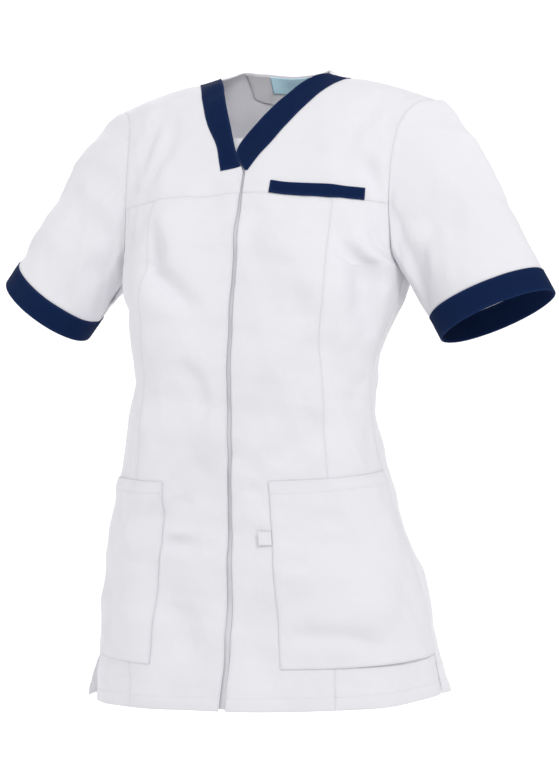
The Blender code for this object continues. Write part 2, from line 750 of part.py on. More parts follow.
def build():
    """The whole tunic."""
    for old in list(bpy.data.objects):
        bpy.data.objects.remove(old, do_unlink=True)
    collection = bpy.data.collections.new("nurse_tunic")
    bpy.context.scene.collection.children.link(collection)
    white = finish("white_cloth", WHITE)
    inner_white = finish("inner_white_cloth", INNER_WHITE)
    navy = finish("navy_cloth", NAVY)
    pale_blue = finish("label_cloth", PALE_BLUE)
    back(white, pale_blue)
    underlap(inner_white)
    side_tab(white)
    for hand, word in WORDS.items():
        side_fronts(hand, word, white)
        yoke(hand, word, white, navy)
        pocket(hand, word, white)
    seam = CROSSES[CHEST_SEAM][1]
    yoke_tapes = [*YOKE_ROWS, TRIM_END, TRIM_END + YOKE_STEP, seam - WELT_HEIGHT, seam]
    armhole_tapes = [lerp(seam, UNDERARM_TAPE, step) for step in (*ARMHOLE_STEPS, 1.0)]
    front_tapes = np.array(yoke_tapes + armhole_tapes)
    back_tapes = [lerp(0.0, BACK_LEVEL, step) for step in BACK_UPPER]
    back_tapes = np.array([*back_tapes, *BACK_ARMHOLE, UNDERARM_TAPE])
    for row in SLEEVES:
        sleeve_walls(row, front_tapes, back_tapes, white, navy)


build()
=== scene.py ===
"""Dresses a nurse's tunic: cloth panels, neck band, cuffs, pockets and stitching, with a pale studio.

The body is one smooth surface. A place on it is given by its side (front or back), its share of
the way from the middle (0) to the wearer's left seam (1) or right seam (-1), and its tape: the
length measured down from the shoulder line. Each panel is a fine grid of such places, with the
cloth's thickness, its creases, its seams and its hems worked into it.
"""

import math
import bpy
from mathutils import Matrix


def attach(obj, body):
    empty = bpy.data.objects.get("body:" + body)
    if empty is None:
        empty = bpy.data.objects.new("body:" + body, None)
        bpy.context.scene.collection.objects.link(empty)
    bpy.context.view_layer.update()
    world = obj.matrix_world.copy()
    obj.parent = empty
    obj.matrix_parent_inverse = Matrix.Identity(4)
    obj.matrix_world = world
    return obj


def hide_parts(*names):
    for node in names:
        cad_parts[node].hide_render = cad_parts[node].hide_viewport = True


bl_info = {
    "name": "Nurse tunic",
    "version": (1, 0, 0),
    "blender": (4, 5, 0),
    "location": "3D View > Sidebar > Tunic",
    "description": "Builds a short-sleeved tunic of sewn cloth panels in a plain studio",
    "category": "Add Mesh",
}

import bmesh
import bpy
import numpy as np
from bpy.props import FloatProperty, FloatVectorProperty, PointerProperty
from bpy.types import Operator, Panel, PropertyGroup
from mathutils import Matrix, Vector

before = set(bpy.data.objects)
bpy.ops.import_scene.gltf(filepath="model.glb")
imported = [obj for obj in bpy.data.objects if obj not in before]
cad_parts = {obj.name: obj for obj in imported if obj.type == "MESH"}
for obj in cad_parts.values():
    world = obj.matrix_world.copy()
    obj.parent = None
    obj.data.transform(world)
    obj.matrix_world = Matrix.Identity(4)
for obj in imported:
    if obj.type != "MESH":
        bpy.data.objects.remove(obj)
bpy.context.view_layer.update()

# Cloth thickness and the gaps between pieces
WALL = 0.0018
STRIP_WALL = 0.0012
LABEL_WALL = 0.0010
LAP_GAP = 0.0005
UNDERLAP_GAP = 0.0008

# Shoulder and neck
SHOULDER_DROP = 0.0275
SHOULDER_FLAT = 0.100
SHOULDER_END = 0.193
SHOULDER_CURVE = 1.3
NECK_RISE_REACH = 0.100
NECK_HALF = 0.065
NECK_BACK_TAPE = 0.060
NECK_BACK_CURVE = 0.85

# Tape at the underarm, and the height there
UNDERARM_TAPE = 0.235
UNDERARM_RISE = 0.020

# How much squarer than an ellipse each side is, and the bust
SQUARENESS = {"front": 0.05, "back": 0.05}
BUST = 0.015
BUST_SHARE = 0.43
BUST_SPREAD = 0.26
BUST_TAPE = 0.265
BUST_REACH = 0.075

# Side vents: where they start, and how far the back edge swings out
VENT_TAPE = 0.618
VENT_FLARES = {"left": 0.004, "right": 0.028}
VENT_FLARE_SHARE = 0.62
VENT_LENGTH = 0.11
VENT_GAP = 0.0015

# Body rings from the underarm to below the hem
RING = ("tape", "middle_x", "half_width", "side_y", "front_y", "back_y")
RINGS = (
    (0.235, 0.000, 0.166, -0.030, -0.1255, 0.095),
    (0.270, 0.000, 0.160, -0.034, -0.133, 0.078),
    (0.310, -0.001, 0.147, -0.042, -0.139, 0.055),
    (0.355, -0.004, 0.1385, -0.048, -0.142, 0.038),
    (0.420, -0.009, 0.1465, -0.045, -0.138, 0.050),
    (0.495, -0.0115, 0.165, -0.032, -0.131, 0.078),
    (0.600, -0.0035, 0.1885, -0.018, -0.133, 0.106),
    (0.735, 0.000, 0.206, -0.010, -0.140, 0.122),
)

# Arches from the shoulder line to just above the underarm
ARCH = ("tape", "height", "drop", "lift", "edge_x", "edge_y", "centre_y", "turn")
SECTION = (*ARCH, "middle_x")
SHOULDER = (0.000, -0.0045, 1.00, 0.022, 0.193, 0.000, 0.000, 57)
ARCHES = {
    "front": (
        (0.020, -0.011, 0.92, 0.017, 0.182, -0.013, -0.021, 58),
        (0.045, -0.031, 0.75, 0.012, 0.169, -0.030, -0.044, 58),
        (0.080, -0.065, 0.45, 0.006, 0.1615, -0.046, -0.066, 58),
        (0.120, -0.104, 0.20, 0.000, 0.159, -0.056, -0.087, 58),
        (0.165, -0.148, 0.05, 0.000, 0.1585, -0.060, -0.106, 63),
        (0.205, -0.186, 0.00, 0.000, 0.160, -0.059, -0.1185, 72),
        (0.225, -0.205, 0.00, 0.000, 0.1635, -0.046, -0.1230, 83),
    ),
    "back": (
        (0.020, -0.011, 0.96, 0.044, 0.190, 0.014, 0.030, 55),
        (0.045, -0.031, 0.88, 0.054, 0.186, 0.026, 0.050, 55),
        (0.080, -0.065, 0.70, 0.057, 0.181, 0.038, 0.068, 55),
        (0.120, -0.105, 0.45, 0.035, 0.175, 0.046, 0.080, 57),
        (0.165, -0.148, 0.20, 0.018, 0.167, 0.050, 0.090, 64),
        (0.205, -0.186, 0.05, 0.006, 0.162, 0.042, 0.094, 74),
        (0.225, -0.205, 0.00, 0.000, 0.163, 0.014, 0.095, 84),
    ),
}

# The front opening: sideways place of its middle, and its width
OPENING = ("tape", "middle", "width")
OPENINGS = (
    (0.104, -0.0128, 0.0008),
    (0.126, 0.0010, 0.0030),
    (0.170, 0.0025, 0.0036),
    (0.235, 0.0053, 0.0044),
    (0.310, 0.0055, 0.0044),
    (0.355, 0.0060, 0.0048),
    (0.420, 0.0050, 0.0044),
    (0.495, 0.0022, 0.0044),
    (0.600, 0.0027, 0.0062),
    (0.665, 0.0000, 0.0060),
    (0.735, -0.0053, 0.0086),
)

# Sideways places of the neck band's edges
TRIM = ("tape", "left_inner", "left_outer", "right_inner", "right_outer")
TRIMS = (
    (0.000, 0.0680, 0.0925, -0.0670, -0.0925),
    (0.025, 0.0470, 0.0800, -0.0530, -0.0805),
    (0.047, 0.0300, 0.0627, -0.0410, -0.0690),
    (0.075, 0.0085, 0.0430, -0.0270, -0.0545),
    (0.104, -0.0124, 0.0205, -0.0132, -0.0345),
    (0.126, 0.0025, 0.0050, -0.0005, -0.0272),
)
TRIM_END = 0.1255
TRIM_SLANTS = {1: 0.0, -1: 0.0055}
TRIM_WRAP = 0.0020
TRIM_PROUD = 0.0009

# Lines down the lower front, sideways: edges of the hip pockets and princess seams
LINE = ("tape", "left_pocket", "left_princess", "right_pocket", "right_princess")
LINES = (
    (0.140, 0.036, 0.105, -0.058, -0.105),
    (0.260, 0.037, 0.109, -0.062, -0.109),
    (0.320, 0.040, 0.104, -0.066, -0.104),
    (0.405, 0.044, 0.104, -0.072, -0.106),
    (0.469, 0.047, 0.107, -0.077, -0.110),
    (0.669, 0.062, 0.119, -0.0935, -0.122),
    (0.735, 0.066, 0.121, -0.098, -0.124),
)

# Lines across the lower front: tape at the middle, at the left side and at the right side
CROSSES = (
    (0.150, 0.164, 0.164),
    (0.235, 0.235, 0.235),
    (0.469, 0.457, 0.469),
    (0.669, 0.657, 0.671),
    (0.7145, 0.700, 0.728),
)
CHEST_SEAM, UNDERARM, POCKET_TOP, POCKET_BOTTOM, HEM = range(5)

# Chest welt
WELT_HEIGHT = 0.014
WELT_INNER = 0.036
WELT_OUTER = 0.137

# Creases: a soft trough (below zero) or ridge, with a lower swelling beside it
FOLD = ("side", "share", "tape", "end_share", "end_tape", "bow", "width", "depth")
GIRTH = 0.210
FOLD_FADE = 12
FOLDS = (
    ("front", -0.50, 0.050, -0.67, 0.140, 0.004, 0.015, -0.0035),
    ("front", -0.52, 0.180, -0.13, 0.285, -0.008, 0.016, -0.0045),
    ("front", 0.73, 0.048, 0.51, 0.128, 0.005, 0.015, -0.0030),
    ("front", 0.70, 0.112, 0.97, 0.152, 0.004, 0.012, -0.0025),
    ("front", 0.60, 0.190, 0.84, 0.315, -0.012, 0.017, -0.0055),
    ("front", 0.52, 0.393, 0.24, 0.446, 0.006, 0.014, -0.0035),
    ("front", -0.24, 0.335, -0.07, 0.400, 0.006, 0.013, -0.0030),
    ("front", -0.28, 0.540, -0.08, 0.541, 0.003, 0.010, -0.0030),
    ("front", 0.18, 0.640, 0.60, 0.640, 0.010, 0.012, -0.0025),
    ("back", -0.60, 0.090, -0.25, 0.160, 0.008, 0.022, -0.0040),
    ("back", 0.62, 0.100, 0.30, 0.175, -0.008, 0.020, -0.0035),
    ("back", -0.85, 0.300, -0.20, 0.345, 0.010, 0.018, -0.0045),
    ("back", 0.88, 0.320, 0.15, 0.375, -0.008, 0.018, -0.0050),
    ("back", -0.50, 0.400, 0.10, 0.425, 0.006, 0.016, -0.0035),
    ("back", 0.45, 0.520, 0.52, 0.690, 0.006, 0.030, 0.0050),
    ("back", -0.35, 0.500, -0.42, 0.700, -0.008, 0.030, 0.0055),
)

# Softer and smaller creases, which only the cloth here shows
CREASES = (
    ("front", -0.520, 0.178, -0.120, 0.292, -0.008, 0.011, -0.0026),
    ("front", -0.620, 0.040, -0.800, 0.120, 0.003, 0.014, -0.0022),
    ("front", -0.380, 0.120, -0.440, 0.230, 0.006, 0.03, 0.0022),
    ("front", -0.800, 0.330, -0.600, 0.520, 0.004, 0.026, -0.0026),
    ("front", -0.300, 0.300, -0.420, 0.560, 0.006, 0.026, 0.003),
    ("front", -0.550, 0.400, -0.520, 0.600, -0.004, 0.02, -0.0018),
    ("front", 0.720, 0.060, 0.340, 0.140, 0.006, 0.02, 0.0024),
    ("front", 0.740, 0.125, 0.950, 0.160, 0.004, 0.0125, -0.0011),
    ("front", 0.140, 0.290, 0.550, 0.296, 0.004, 0.02, -0.002),
    ("front", 0.400, 0.316, 0.900, 0.400, 0.006, 0.022, -0.0034),
    ("front", 0.520, 0.212, 0.820, 0.262, -0.004, 0.014, -0.0016),
    ("front", 0.300, 0.180, 0.340, 0.270, 0.004, 0.036, 0.0024),
    ("front", 0.120, 0.575, 0.100, 0.700, 0.003, 0.018, -0.0026),
    ("front", 0.340, 0.660, 0.850, 0.640, 0.006, 0.024, -0.0034),
    ("front", 0.500, 0.530, 0.550, 0.650, 0.006, 0.032, 0.003),
    ("front", -0.440, 0.560, -0.360, 0.690, 0.006, 0.022, 0.003),
    ("front", -0.640, 0.560, -0.620, 0.700, 0.002, 0.018, -0.0026),
    ("front", -0.340, 0.500, -0.220, 0.512, 0.003, 0.0125, -0.0011),
    ("front", -0.780, 0.186, -0.700, 0.212, 0.002, 0.0088, -0.00088),
    ("front", -0.170, 0.446, -0.020, 0.463, 0.002, 0.01, -0.00088),
    ("front", -0.240, 0.499, -0.130, 0.487, 0.001, 0.0075, -0.00088),
    ("front", -0.250, 0.528, -0.130, 0.526, 0.001, 0.0075, 0.00121),
    ("front", -0.090, 0.541, 0.000, 0.538, 0.001, 0.0075, -0.00077),
    ("front", -0.190, 0.600, -0.170, 0.664, 0.004, 0.014, -0.0024),
    ("front", 0.110, 0.160, 0.060, 0.232, 0.004, 0.0125, -0.00099),
    ("front", 0.080, 0.420, 0.050, 0.452, 0.002, 0.01, -0.00077),
    ("front", 0.700, 0.366, 0.990, 0.367, 0.003, 0.0088, -0.0011),
    ("front", 0.680, 0.380, 0.970, 0.384, 0.003, 0.0075, -0.00099),
    ("front", 0.720, 0.394, 0.950, 0.399, -0.002, 0.0075, -0.00077),
    ("front", 0.300, 0.520, 0.560, 0.507, 0.004, 0.01, -0.00099),
    ("front", 0.220, 0.560, 0.360, 0.554, 0.003, 0.01, -0.00099),
    ("front", 0.220, 0.596, 0.400, 0.590, 0.003, 0.0112, -0.00099),
    ("front", 0.620, 0.548, 0.800, 0.600, 0.006, 0.0125, -0.00099),
    ("front", -0.420, 0.345, -0.750, 0.372, 0.005, 0.0112, -0.0011),
    ("front", -0.450, 0.392, -0.820, 0.402, 0.004, 0.0112, -0.00099),
    ("front", 0.340, 0.345, 0.520, 0.362, 0.004, 0.0125, -0.00077),
    ("front", 0.300, 0.115, 0.240, 0.150, 0.002, 0.0112, -0.00055),
    ("front", 0.260, 0.245, 0.400, 0.315, 0.006, 0.014, -0.0018),
    ("front", 0.820, 0.180, 0.920, 0.228, -0.004, 0.01, -0.00165),
    ("front", -0.900, 0.190, -0.980, 0.234, 0.003, 0.0112, -0.00165),
    ("front", -0.600, 0.255, -0.850, 0.300, 0.006, 0.011, -0.002),
    ("front", 0.120, 0.480, 0.200, 0.474, 0.001, 0.0075, -0.00121),
    ("front", 0.420, 0.690, 0.600, 0.672, 0.002, 0.0125, -0.00066),
    ("back", -0.880, 0.180, -0.550, 0.235, 0.008, 0.012, -0.003),
    ("back", 0.900, 0.176, 0.580, 0.240, -0.008, 0.012, -0.003),
    ("back", -0.300, 0.235, 0.050, 0.262, 0.006, 0.012, -0.0018),
    ("back", 0.350, 0.280, 0.720, 0.268, 0.006, 0.012, -0.0022),
    ("back", -0.920, 0.352, -0.480, 0.372, 0.006, 0.0112, -0.00143),
    ("back", 0.920, 0.392, 0.500, 0.402, 0.005, 0.0125, -0.00121),
    ("back", -0.200, 0.372, 0.180, 0.352, 0.005, 0.011, -0.0024),
    ("back", 0.200, 0.430, 0.550, 0.452, -0.006, 0.012, -0.002),
    ("back", -0.620, 0.455, -0.360, 0.440, 0.004, 0.012, -0.002),
    ("back", 0.050, 0.520, 0.100, 0.690, 0.008, 0.026, -0.0026),
    ("back", 0.780, 0.520, 0.860, 0.680, -0.006, 0.024, -0.003),
    ("back", -0.720, 0.530, -0.820, 0.690, 0.006, 0.024, -0.003),
    ("back", -0.140, 0.075, -0.100, 0.120, 0.002, 0.012, -0.0014),
    ("back", 0.120, 0.078, 0.100, 0.130, -0.002, 0.012, -0.0012),
)

# Long stitched darts that shape the back's waist
DARTS = ((-0.40, 0.215, 0.520), (0.40, 0.215, 0.520))
DART_WIDTH = 0.0016
DART_DEPTH = -0.0010

# Gentle unevenness of the whole cloth: wave length, size
SWELLS = ((0.118, 0.0008), (0.071, 0.0006), (0.043, 0.00032), (0.026, 0.00013), (0.012, 0.00003))

# How far the lower edge swings in and out, and over which tapes that grows
HEM_SWING = 0.0012
HEM_SWING_FROM = 0.630
HEM_SWING_REACH = 0.085

# Sleeves: middle and half axes of the cuff's lower edge, then in degrees how far that edge tilts up
# outwards, how far it dips at the back, and how steeply the sleeve runs down
SLEEVE = ("hand", "reach", "forward", "height", "half_width", "half_depth", "tilt", "dip", "slant")
SLEEVES = (
    (1, 0.2695, -0.020, -0.2700, 0.0680, 0.048, 23.5, 10.0, 60.0),
    (-1, 0.2800, -0.020, -0.2600, 0.0610, 0.048, 36.0, -7.0, 54.0),
)
SLEEVE_TURN_IN = 0.35
SLEEVE_FORWARD = -0.04
SLEEVE_ROOT_PULL = 0.50
SLEEVE_END_PULL = 0.95
CUFF_DEPTH = 0.028
CUFF_PROUD = 0.0006

# Creases of a sleeve, in metres round from the underarm up the front and in metres down
SLEEVE_CREASES = (
    (1, 0.0600, 0.0200, 0.1300, 0.1200, 0.0100, 0.0169, -0.0018),
    (1, 0.0300, 0.0350, 0.0700, 0.0850, 0.0040, 0.0117, -0.0017),
    (1, 0.1750, 0.0300, 0.1500, 0.1300, 0.0080, 0.0195, -0.0011),
    (1, 0.3000, 0.0300, 0.2600, 0.1200, 0.0100, 0.0182, -0.0016),
    (1, 0.3500, 0.0500, 0.3200, 0.1200, 0.0060, 0.0130, -0.0014),
    (-1, 0.0500, 0.0250, 0.1200, 0.1200, 0.0100, 0.0169, -0.0017),
    (-1, 0.0250, 0.0400, 0.0600, 0.0900, 0.0040, 0.0117, -0.0016),
    (-1, 0.1600, 0.0350, 0.1500, 0.1500, 0.0060, 0.0195, -0.0011),
    (-1, 0.2900, 0.0300, 0.2500, 0.1100, 0.0100, 0.0182, -0.0016),
    (-1, 0.3400, 0.0450, 0.3100, 0.1200, 0.0060, 0.0130, -0.0014),
)

# Neck label and size tab: half widths and middles, sideways, and depth down from the neck's edge
LABEL_MIDDLE = -0.004
LABEL_HALF = 0.0255
LABEL_DROP = 0.020
SIZE_MIDDLE = 0.036
SIZE_HALF = 0.0045
SIZE_DROP = 0.010
FACING_REACH = 0.052
FACING_DROP = 0.034

# Tab beside the left pocket, its tapes and how far it reaches from the pocket's edge
TAB_TAPES = (0.520, 0.535)
TAB_REACH = (0.015, 0.0005)
TAB_LIFT = 0.0035

# Strip behind the opening, and how far the opening's edges stand up or lie low beside it
PLACKET_STEP = 0.0009
PLACKET_REACH = 0.016
UNDERLAP_TOP = 0.090
UNDERLAP_END = 0.7125
UNDERLAP_HALF = 0.014

# How far below the shoulder line the cloth lies smooth
SHOULDER_CALM = 0.030
PUCKER_START = 3.0

# How deep the cloth sinks in at each kind of seam, and which kind crosses each front
SEAMS_BY_HAND = {1: "seam", -1: "faint"}
SEAM_DEPTHS = {"faint": 0.00012, "seam": 0.00028, "armhole": 0.00032}

# Distances from an edge at which a panel's grid has lines, and its spacing elsewhere
NEAR_SEAM = (0.0, 0.0003, 0.0007, 0.0013, 0.0020, 0.0030, 0.0045, 0.0068)
NEAR_STITCH = (0.0, 0.0003, 0.0008, 0.0014, 0.0019, 0.0025, 0.0036, 0.0050, 0.0058, 0.0064, 0.0075)
NEAR_HEM = (0.0, 0.0003, 0.0008, 0.0016, 0.0035, 0.0070, 0.0110, 0.0133, 0.0140, 0.0147, 0.0160, 0.0180)
SPACING = 0.0030

# How far in from an edge the cloth's colour changes: painted shade along the seams and edges of white cloth and the
# label, lighter worn edges on navy
EDGE_SHADE_AND_WEAR_REACH = 0.0014

# How much light goes through the cloth, and how far
THIN = 0.6
THIN_REACH = 0.003

# Camera: place, distance from the object's middle line, focal length in image heights
CAMERA_AZIMUTH = 23.0
CAMERA_DISTANCE = 2.6
CAMERA_HEIGHT = -0.295
FOCAL_IN_HEIGHTS = 2301.0 / 783.0
PHOTO_WIDTH = 559
PHOTO_HEIGHT = 783
PHOTO_CENTRE = (275.0, 340.0)

# Studio
FLOOR_Z = -1.35
FLOOR_RADIUS = 5.0
SWEEP_RADIUS = 2.6
SWEEP_STEPS = 16

STEP = 1e-4
SOLVE_ROUNDS = 12
WELD = 1e-6
WORDS = {1: "left", -1: "right"}


class TunicSettings(PropertyGroup):
    """Sizes and colours of the tunic's cloth."""

    white: FloatVectorProperty(
        name="White cloth", description="Colour of the body's cloth", subtype="COLOR",
        size=3, min=0, max=1, default=(0.705, 0.701, 0.736),
    )
    navy: FloatVectorProperty(
        name="Navy cloth", description="Colour of the neck band, cuffs and chest welt",
        subtype="COLOR", size=3, min=0, max=1, default=(0.0035, 0.0125, 0.050),
    )
    label: FloatVectorProperty(
        name="Label", description="Colour of the bare neck label", subtype="COLOR",
        size=3, min=0, max=1, default=(0.58, 0.86, 1.0),
    )
    thread: FloatVectorProperty(
        name="White thread", description="Colour of the stitches on white cloth",
        subtype="COLOR", size=3, min=0, max=1, default=(0.72, 0.72, 0.75),
    )
    weave: FloatProperty(
        name="Weave", description="Distance between two ribs of the twill",
        default=0.00075, min=0.0002, max=0.003, unit="LENGTH", precision=5,
    )
    stitch: FloatProperty(
        name="Stitch length", description="Length of one stitch with its gap",
        default=0.0028, min=0.001, max=0.01, unit="LENGTH", precision=4,
    )
    thread_width: FloatProperty(
        name="Thread", description="Thickness of the sewing thread",
        default=0.00045, min=0.0001, max=0.002, unit="LENGTH", precision=5,
    )
    creasing: FloatProperty(
        name="Creasing", description="How deep the smaller creases are",
        default=2.0, min=0.0, max=3.0, subtype="FACTOR",
    )


class StudioSettings(PropertyGroup):
    """Floor and light of the studio."""

    floor: FloatVectorProperty(
        name="Floor", description="Colour of the floor and of the light all round",
        subtype="COLOR", size=3, min=0, max=1, default=(0.975, 0.975, 0.975),
    )
    key: FloatProperty(
        name="Key light", description="Power of the large light in front",
        default=50.0, min=0.0, max=500.0, unit="POWER",
    )
    side: FloatProperty(
        name="Side light", description="Power of the light from the wearer's right",
        default=17.0, min=0.0, max=500.0, unit="POWER",
    )
    backdrop: FloatProperty(
        name="Backdrop light", description="Power of the light on the floor's sweep behind",
        default=110.0, min=0.0, max=500.0, unit="POWER",
    )
    behind: FloatProperty(
        name="Back light", description="Power of the light behind the wearer's right shoulder",
        default=26.0, min=0.0, max=500.0, unit="POWER",
    )
    around: FloatProperty(
        name="Light all round", description="Strength of the even light from everywhere",
        default=0.70, min=0.0, max=3.0, subtype="FACTOR",
    )


def lerp(low, high, share):
    """The value that lies a share of the way from low to high."""
    return low + (high - low) * share


def columns(names, rows):
    """A table's columns by name."""
    return {name: np.array(values, dtype=float) for name, values in zip(names, zip(*rows))}


def gentle_slopes(stations, values):
    """Slopes of a smooth curve that never swings past a table's values."""
    secants = np.diff(values) / np.diff(stations)
    before, after = secants[:-1], secants[1:]
    same_way = before * after > 0
    total = np.where(same_way, before + after, 1.0)
    middle = np.where(same_way, 2 * before * after / total, 0.0)
    return np.concatenate((secants[:1], middle, secants[-1:]))


def through(stations, values, at, slopes=None):
    """A smooth curve through a table's values."""
    at = np.clip(at, stations[0], stations[-1])
    if slopes is None:
        slopes = gentle_slopes(stations, values)
    low = np.clip(np.searchsorted(stations, at, side="right") - 1, 0, len(stations) - 2)
    width = stations[low + 1] - stations[low]
    share = (at - stations[low]) / width
    rest = 1 - share
    start = values[low] * (1 + 2 * share) * rest**2 + slopes[low] * width * share * rest**2
    end = values[low + 1] * (3 - 2 * share) * share**2 - slopes[low + 1] * width * rest * share**2
    return start + end


def body_sections(side):
    """The rows of one side from past the shoulder line to the hem."""
    other = "back" if side == "front" else "front"
    across = ARCHES[other][0]
    past_shoulder = (-across[0],) + across[1:]
    rows = [row + (0.0,) for row in (past_shoulder, SHOULDER, *ARCHES[side])]
    for tape, middle_x, half_width, side_y, front_y, back_y in RINGS:
        centre_y = front_y if side == "front" else back_y
        rows.append((tape, UNDERARM_RISE - tape, 0, 0, half_width, side_y, centre_y, 90, middle_x))
    table = columns(SECTION, rows)
    stations, rings = table["tape"], len(RINGS)
    for name in SECTION[1:]:
        slopes = gentle_slopes(stations, table[name])
        slopes[-rings:] = gentle_slopes(stations[-rings:], table[name][-rings:])
        table[name] = (table[name], slopes)
    return table


def section_value(side, name, tape):
    """One measure of the body's section at a tape."""
    table = SECTIONS[side]
    values, slopes = table[name]
    return through(table["tape"], values, tape, slopes)


SECTIONS = {side: body_sections(side) for side in ("front", "back")}
OPENING_LINE = columns(OPENING, OPENINGS)
TRIM_LINE = columns(TRIM, TRIMS)
FRONT_LINE = columns(LINE, LINES)


def bump(offset):
    """A soft bell from 1 at zero to 0 far away."""
    return np.exp(-(offset**2))


def smooth_step(value):
    """0 below zero, 1 above one, smooth between."""
    value = np.clip(value, 0, 1)
    return value**2 * (3 - 2 * value)


def crease(across, down, run, bow, width, depth, swelling=0.0):
    """One crease's height at places measured from its start."""
    length = np.hypot(*run)
    way = np.array(run) / length
    along = (across * way[0] + down * way[1]) / length
    inside = np.clip(4 * along * (1 - along), 0, None)
    aside = (across * way[1] - down * way[0] - bow * inside) / width
    profile = bump(aside) - swelling * bump((aside - 1.5) / 1.2)
    return depth * inside * profile


def fold_relief(side, share, tape, table=FOLDS, swelling=0.0):
    """How far a table's folds move the cloth out."""
    relief = np.zeros(np.broadcast(share, tape).shape)
    for face, start, start_tape, end, end_tape, bow, width, depth in table:
        if face == side:
            run = ((end - start) * GIRTH, end_tape - start_tape)
            across, down = (share - start) * GIRTH, tape - start_tape
            relief = relief + crease(across, down, run, bow, width, depth, swelling)
    return relief * (1 - np.clip(np.abs(share), 0, 1) ** FOLD_FADE)


def swell(across, down, seed):
    """The cloth's gentle unevenness at places in metres."""
    height = np.zeros(np.broadcast(across, down).shape)
    for step, (length, size) in enumerate(SWELLS):
        for turn in range(3):
            angle = seed * 1.7 + step * 2.1 + turn * 1.05
            phase = seed * 3.1 + step * 1.3 + turn * 2.4
            place = across * math.cos(angle) + down * math.sin(angle)
            height = height + size * np.sin(place * 2 * math.pi / length + phase) / 1.7
    return height


def hem_wave(side, share, tape):
    """How the loose lower edge swings in and out."""
    place = share * GIRTH + (0.0 if side == "front" else 0.3)
    wave = np.sin(place * 2 * math.pi / 0.093) + 0.6 * np.sin(place * 2 * math.pi / 0.061 + 1.1)
    return HEM_SWING * wave * smooth_step((tape - HEM_SWING_FROM) / HEM_SWING_REACH)


def torso_point(side, share, tape):
    """A point of the body's outer surface."""
    section = {name: section_value(side, name, tape) for name in SECTION[1:]}
    turn = np.radians(section["turn"])
    swing = turn * share
    fullness = 1 + SQUARENESS[side] * np.sin(np.pi * share) ** 2
    x = section["edge_x"] * np.sin(swing) / np.sin(turn) * fullness
    bend = (np.cos(swing) - np.cos(turn)) / (1 - np.cos(turn)) * fullness
    y = lerp(section["edge_y"], section["centre_y"], bend)
    fall = np.clip((np.abs(x) - SHOULDER_FLAT) / (SHOULDER_END - SHOULDER_FLAT), 0, None)
    rise = np.clip(1 - (x / NECK_RISE_REACH) ** 2, 0, None) ** 2
    z = section["height"] + section["lift"] * rise
    z = z - section["drop"] * SHOULDER_DROP * fall**SHOULDER_CURVE
    front = side == "front"
    if front:
        aside = (np.abs(share) - BUST_SHARE) / BUST_SPREAD
        y = y - BUST * bump(aside) * bump((tape - BUST_TAPE) / BUST_REACH)
    else:
        swung = smooth_step((np.abs(share) - VENT_FLARE_SHARE) / (1 - VENT_FLARE_SHARE))
        flare = np.where(share > 0, VENT_FLARES["left"], -VENT_FLARES["right"])
        x = x + flare * swung * smooth_step((tape - VENT_TAPE) / VENT_LENGTH)
    relief = fold_relief(side, share, tape)
    x = x + relief * np.sin(swing) + section["middle_x"]
    y = y + relief * np.cos(swing) * (-1 if front else 1)
    return np.stack(np.broadcast_arrays(x, y, z), axis=-1)


def unit(vectors):
    """The vectors at length one."""
    return vectors / np.linalg.norm(vectors, axis=-1, keepdims=True)


def torso(side, share, tape):
    """Points of the body's outer surface with the directions that face out of it."""
    across = torso_point(side, share + STEP, tape) - torso_point(side, share - STEP, tape)
    down = torso_point(side, share, tape + STEP) - torso_point(side, share, tape - STEP)
    out = unit(np.cross(down, across) * (1 if side == "front" else -1))
    return torso_point(side, share, tape), out


def share_at(side, x, tape):
    """The share at which the surface is the distance x to the wearer's left of the middle."""
    edge = section_value(side, "edge_x", tape)
    turn = np.radians(section_value(side, "turn", tape))
    x = x - section_value(side, "middle_x", tape)
    share = x / edge
    for _ in range(SOLVE_ROUNDS):
        fullness = 1 + SQUARENESS[side] * np.sin(np.pi * share) ** 2
        share = np.arcsin(np.clip(x * np.sin(turn) / edge / fullness, -1, 1)) / turn
    return share


def opening_share(hand, tape):
    """The share at one edge of the front opening."""
    middle = through(OPENING_LINE["tape"], OPENING_LINE["middle"], tape)
    width = through(OPENING_LINE["tape"], OPENING_LINE["width"], tape)
    return share_at("front", middle + hand * width / 2, tape)


def trim_x(hand, edge, tape):
    """Sideways place of an edge of the neck band."""
    return through(TRIM_LINE["tape"], TRIM_LINE[f"{WORDS[hand]}_{edge}"], tape)


def between_lines(lines, place):
    """Values between numbered lines: place 1.25 is a quarter of the way from line 1 to line 2."""
    lines = np.stack(np.broadcast_arrays(*lines, place)[:-1])
    place = np.broadcast_to(place, lines.shape[1:])
    low = np.minimum(np.floor(place), len(lines) - 2).astype(int)[None]
    before, after = (np.take_along_axis(lines, index, axis=0)[0] for index in (low, low + 1))
    return lerp(before, after, place - low[0])


def front_share(hand, column, tape):
    """The share of a column line: 0 opening, 1 pocket edge, 2 princess seam, 3 side seam."""
    lines = [opening_share(hand, tape)]
    for name in ("pocket", "princess"):
        x = through(FRONT_LINE["tape"], FRONT_LINE[f"{WORDS[hand]}_{name}"], tape)
        lines.append(share_at("front", x, tape))
    return between_lines([*lines, np.full(np.shape(tape), float(hand))], column)


def cross_tape(row, share):
    """The tape of a line across: 0 chest seam, 1 underarm, 2 and 3 pocket, 4 hem."""
    share = np.asarray(share, dtype=float)
    lines = []
    for middle, left, right in CROSSES:
        lines.append(lerp(middle, np.where(share > 0, left, right), np.abs(share)))
    return between_lines(lines, row)


def front_grid(hand, column_list, row_list):
    """Shares and tapes where the column lines cross the lines across."""
    column, row = np.meshgrid(column_list, row_list)
    tape = cross_tape(row, np.zeros_like(row))
    for _ in range(4):
        share = front_share(hand, column, tape)
        tape = cross_tape(row, share)
    return share, tape


def steps(start, end, count):
    """Evenly spaced values with both ends."""
    return [lerp(start, end, i / count) for i in range(count + 1)]


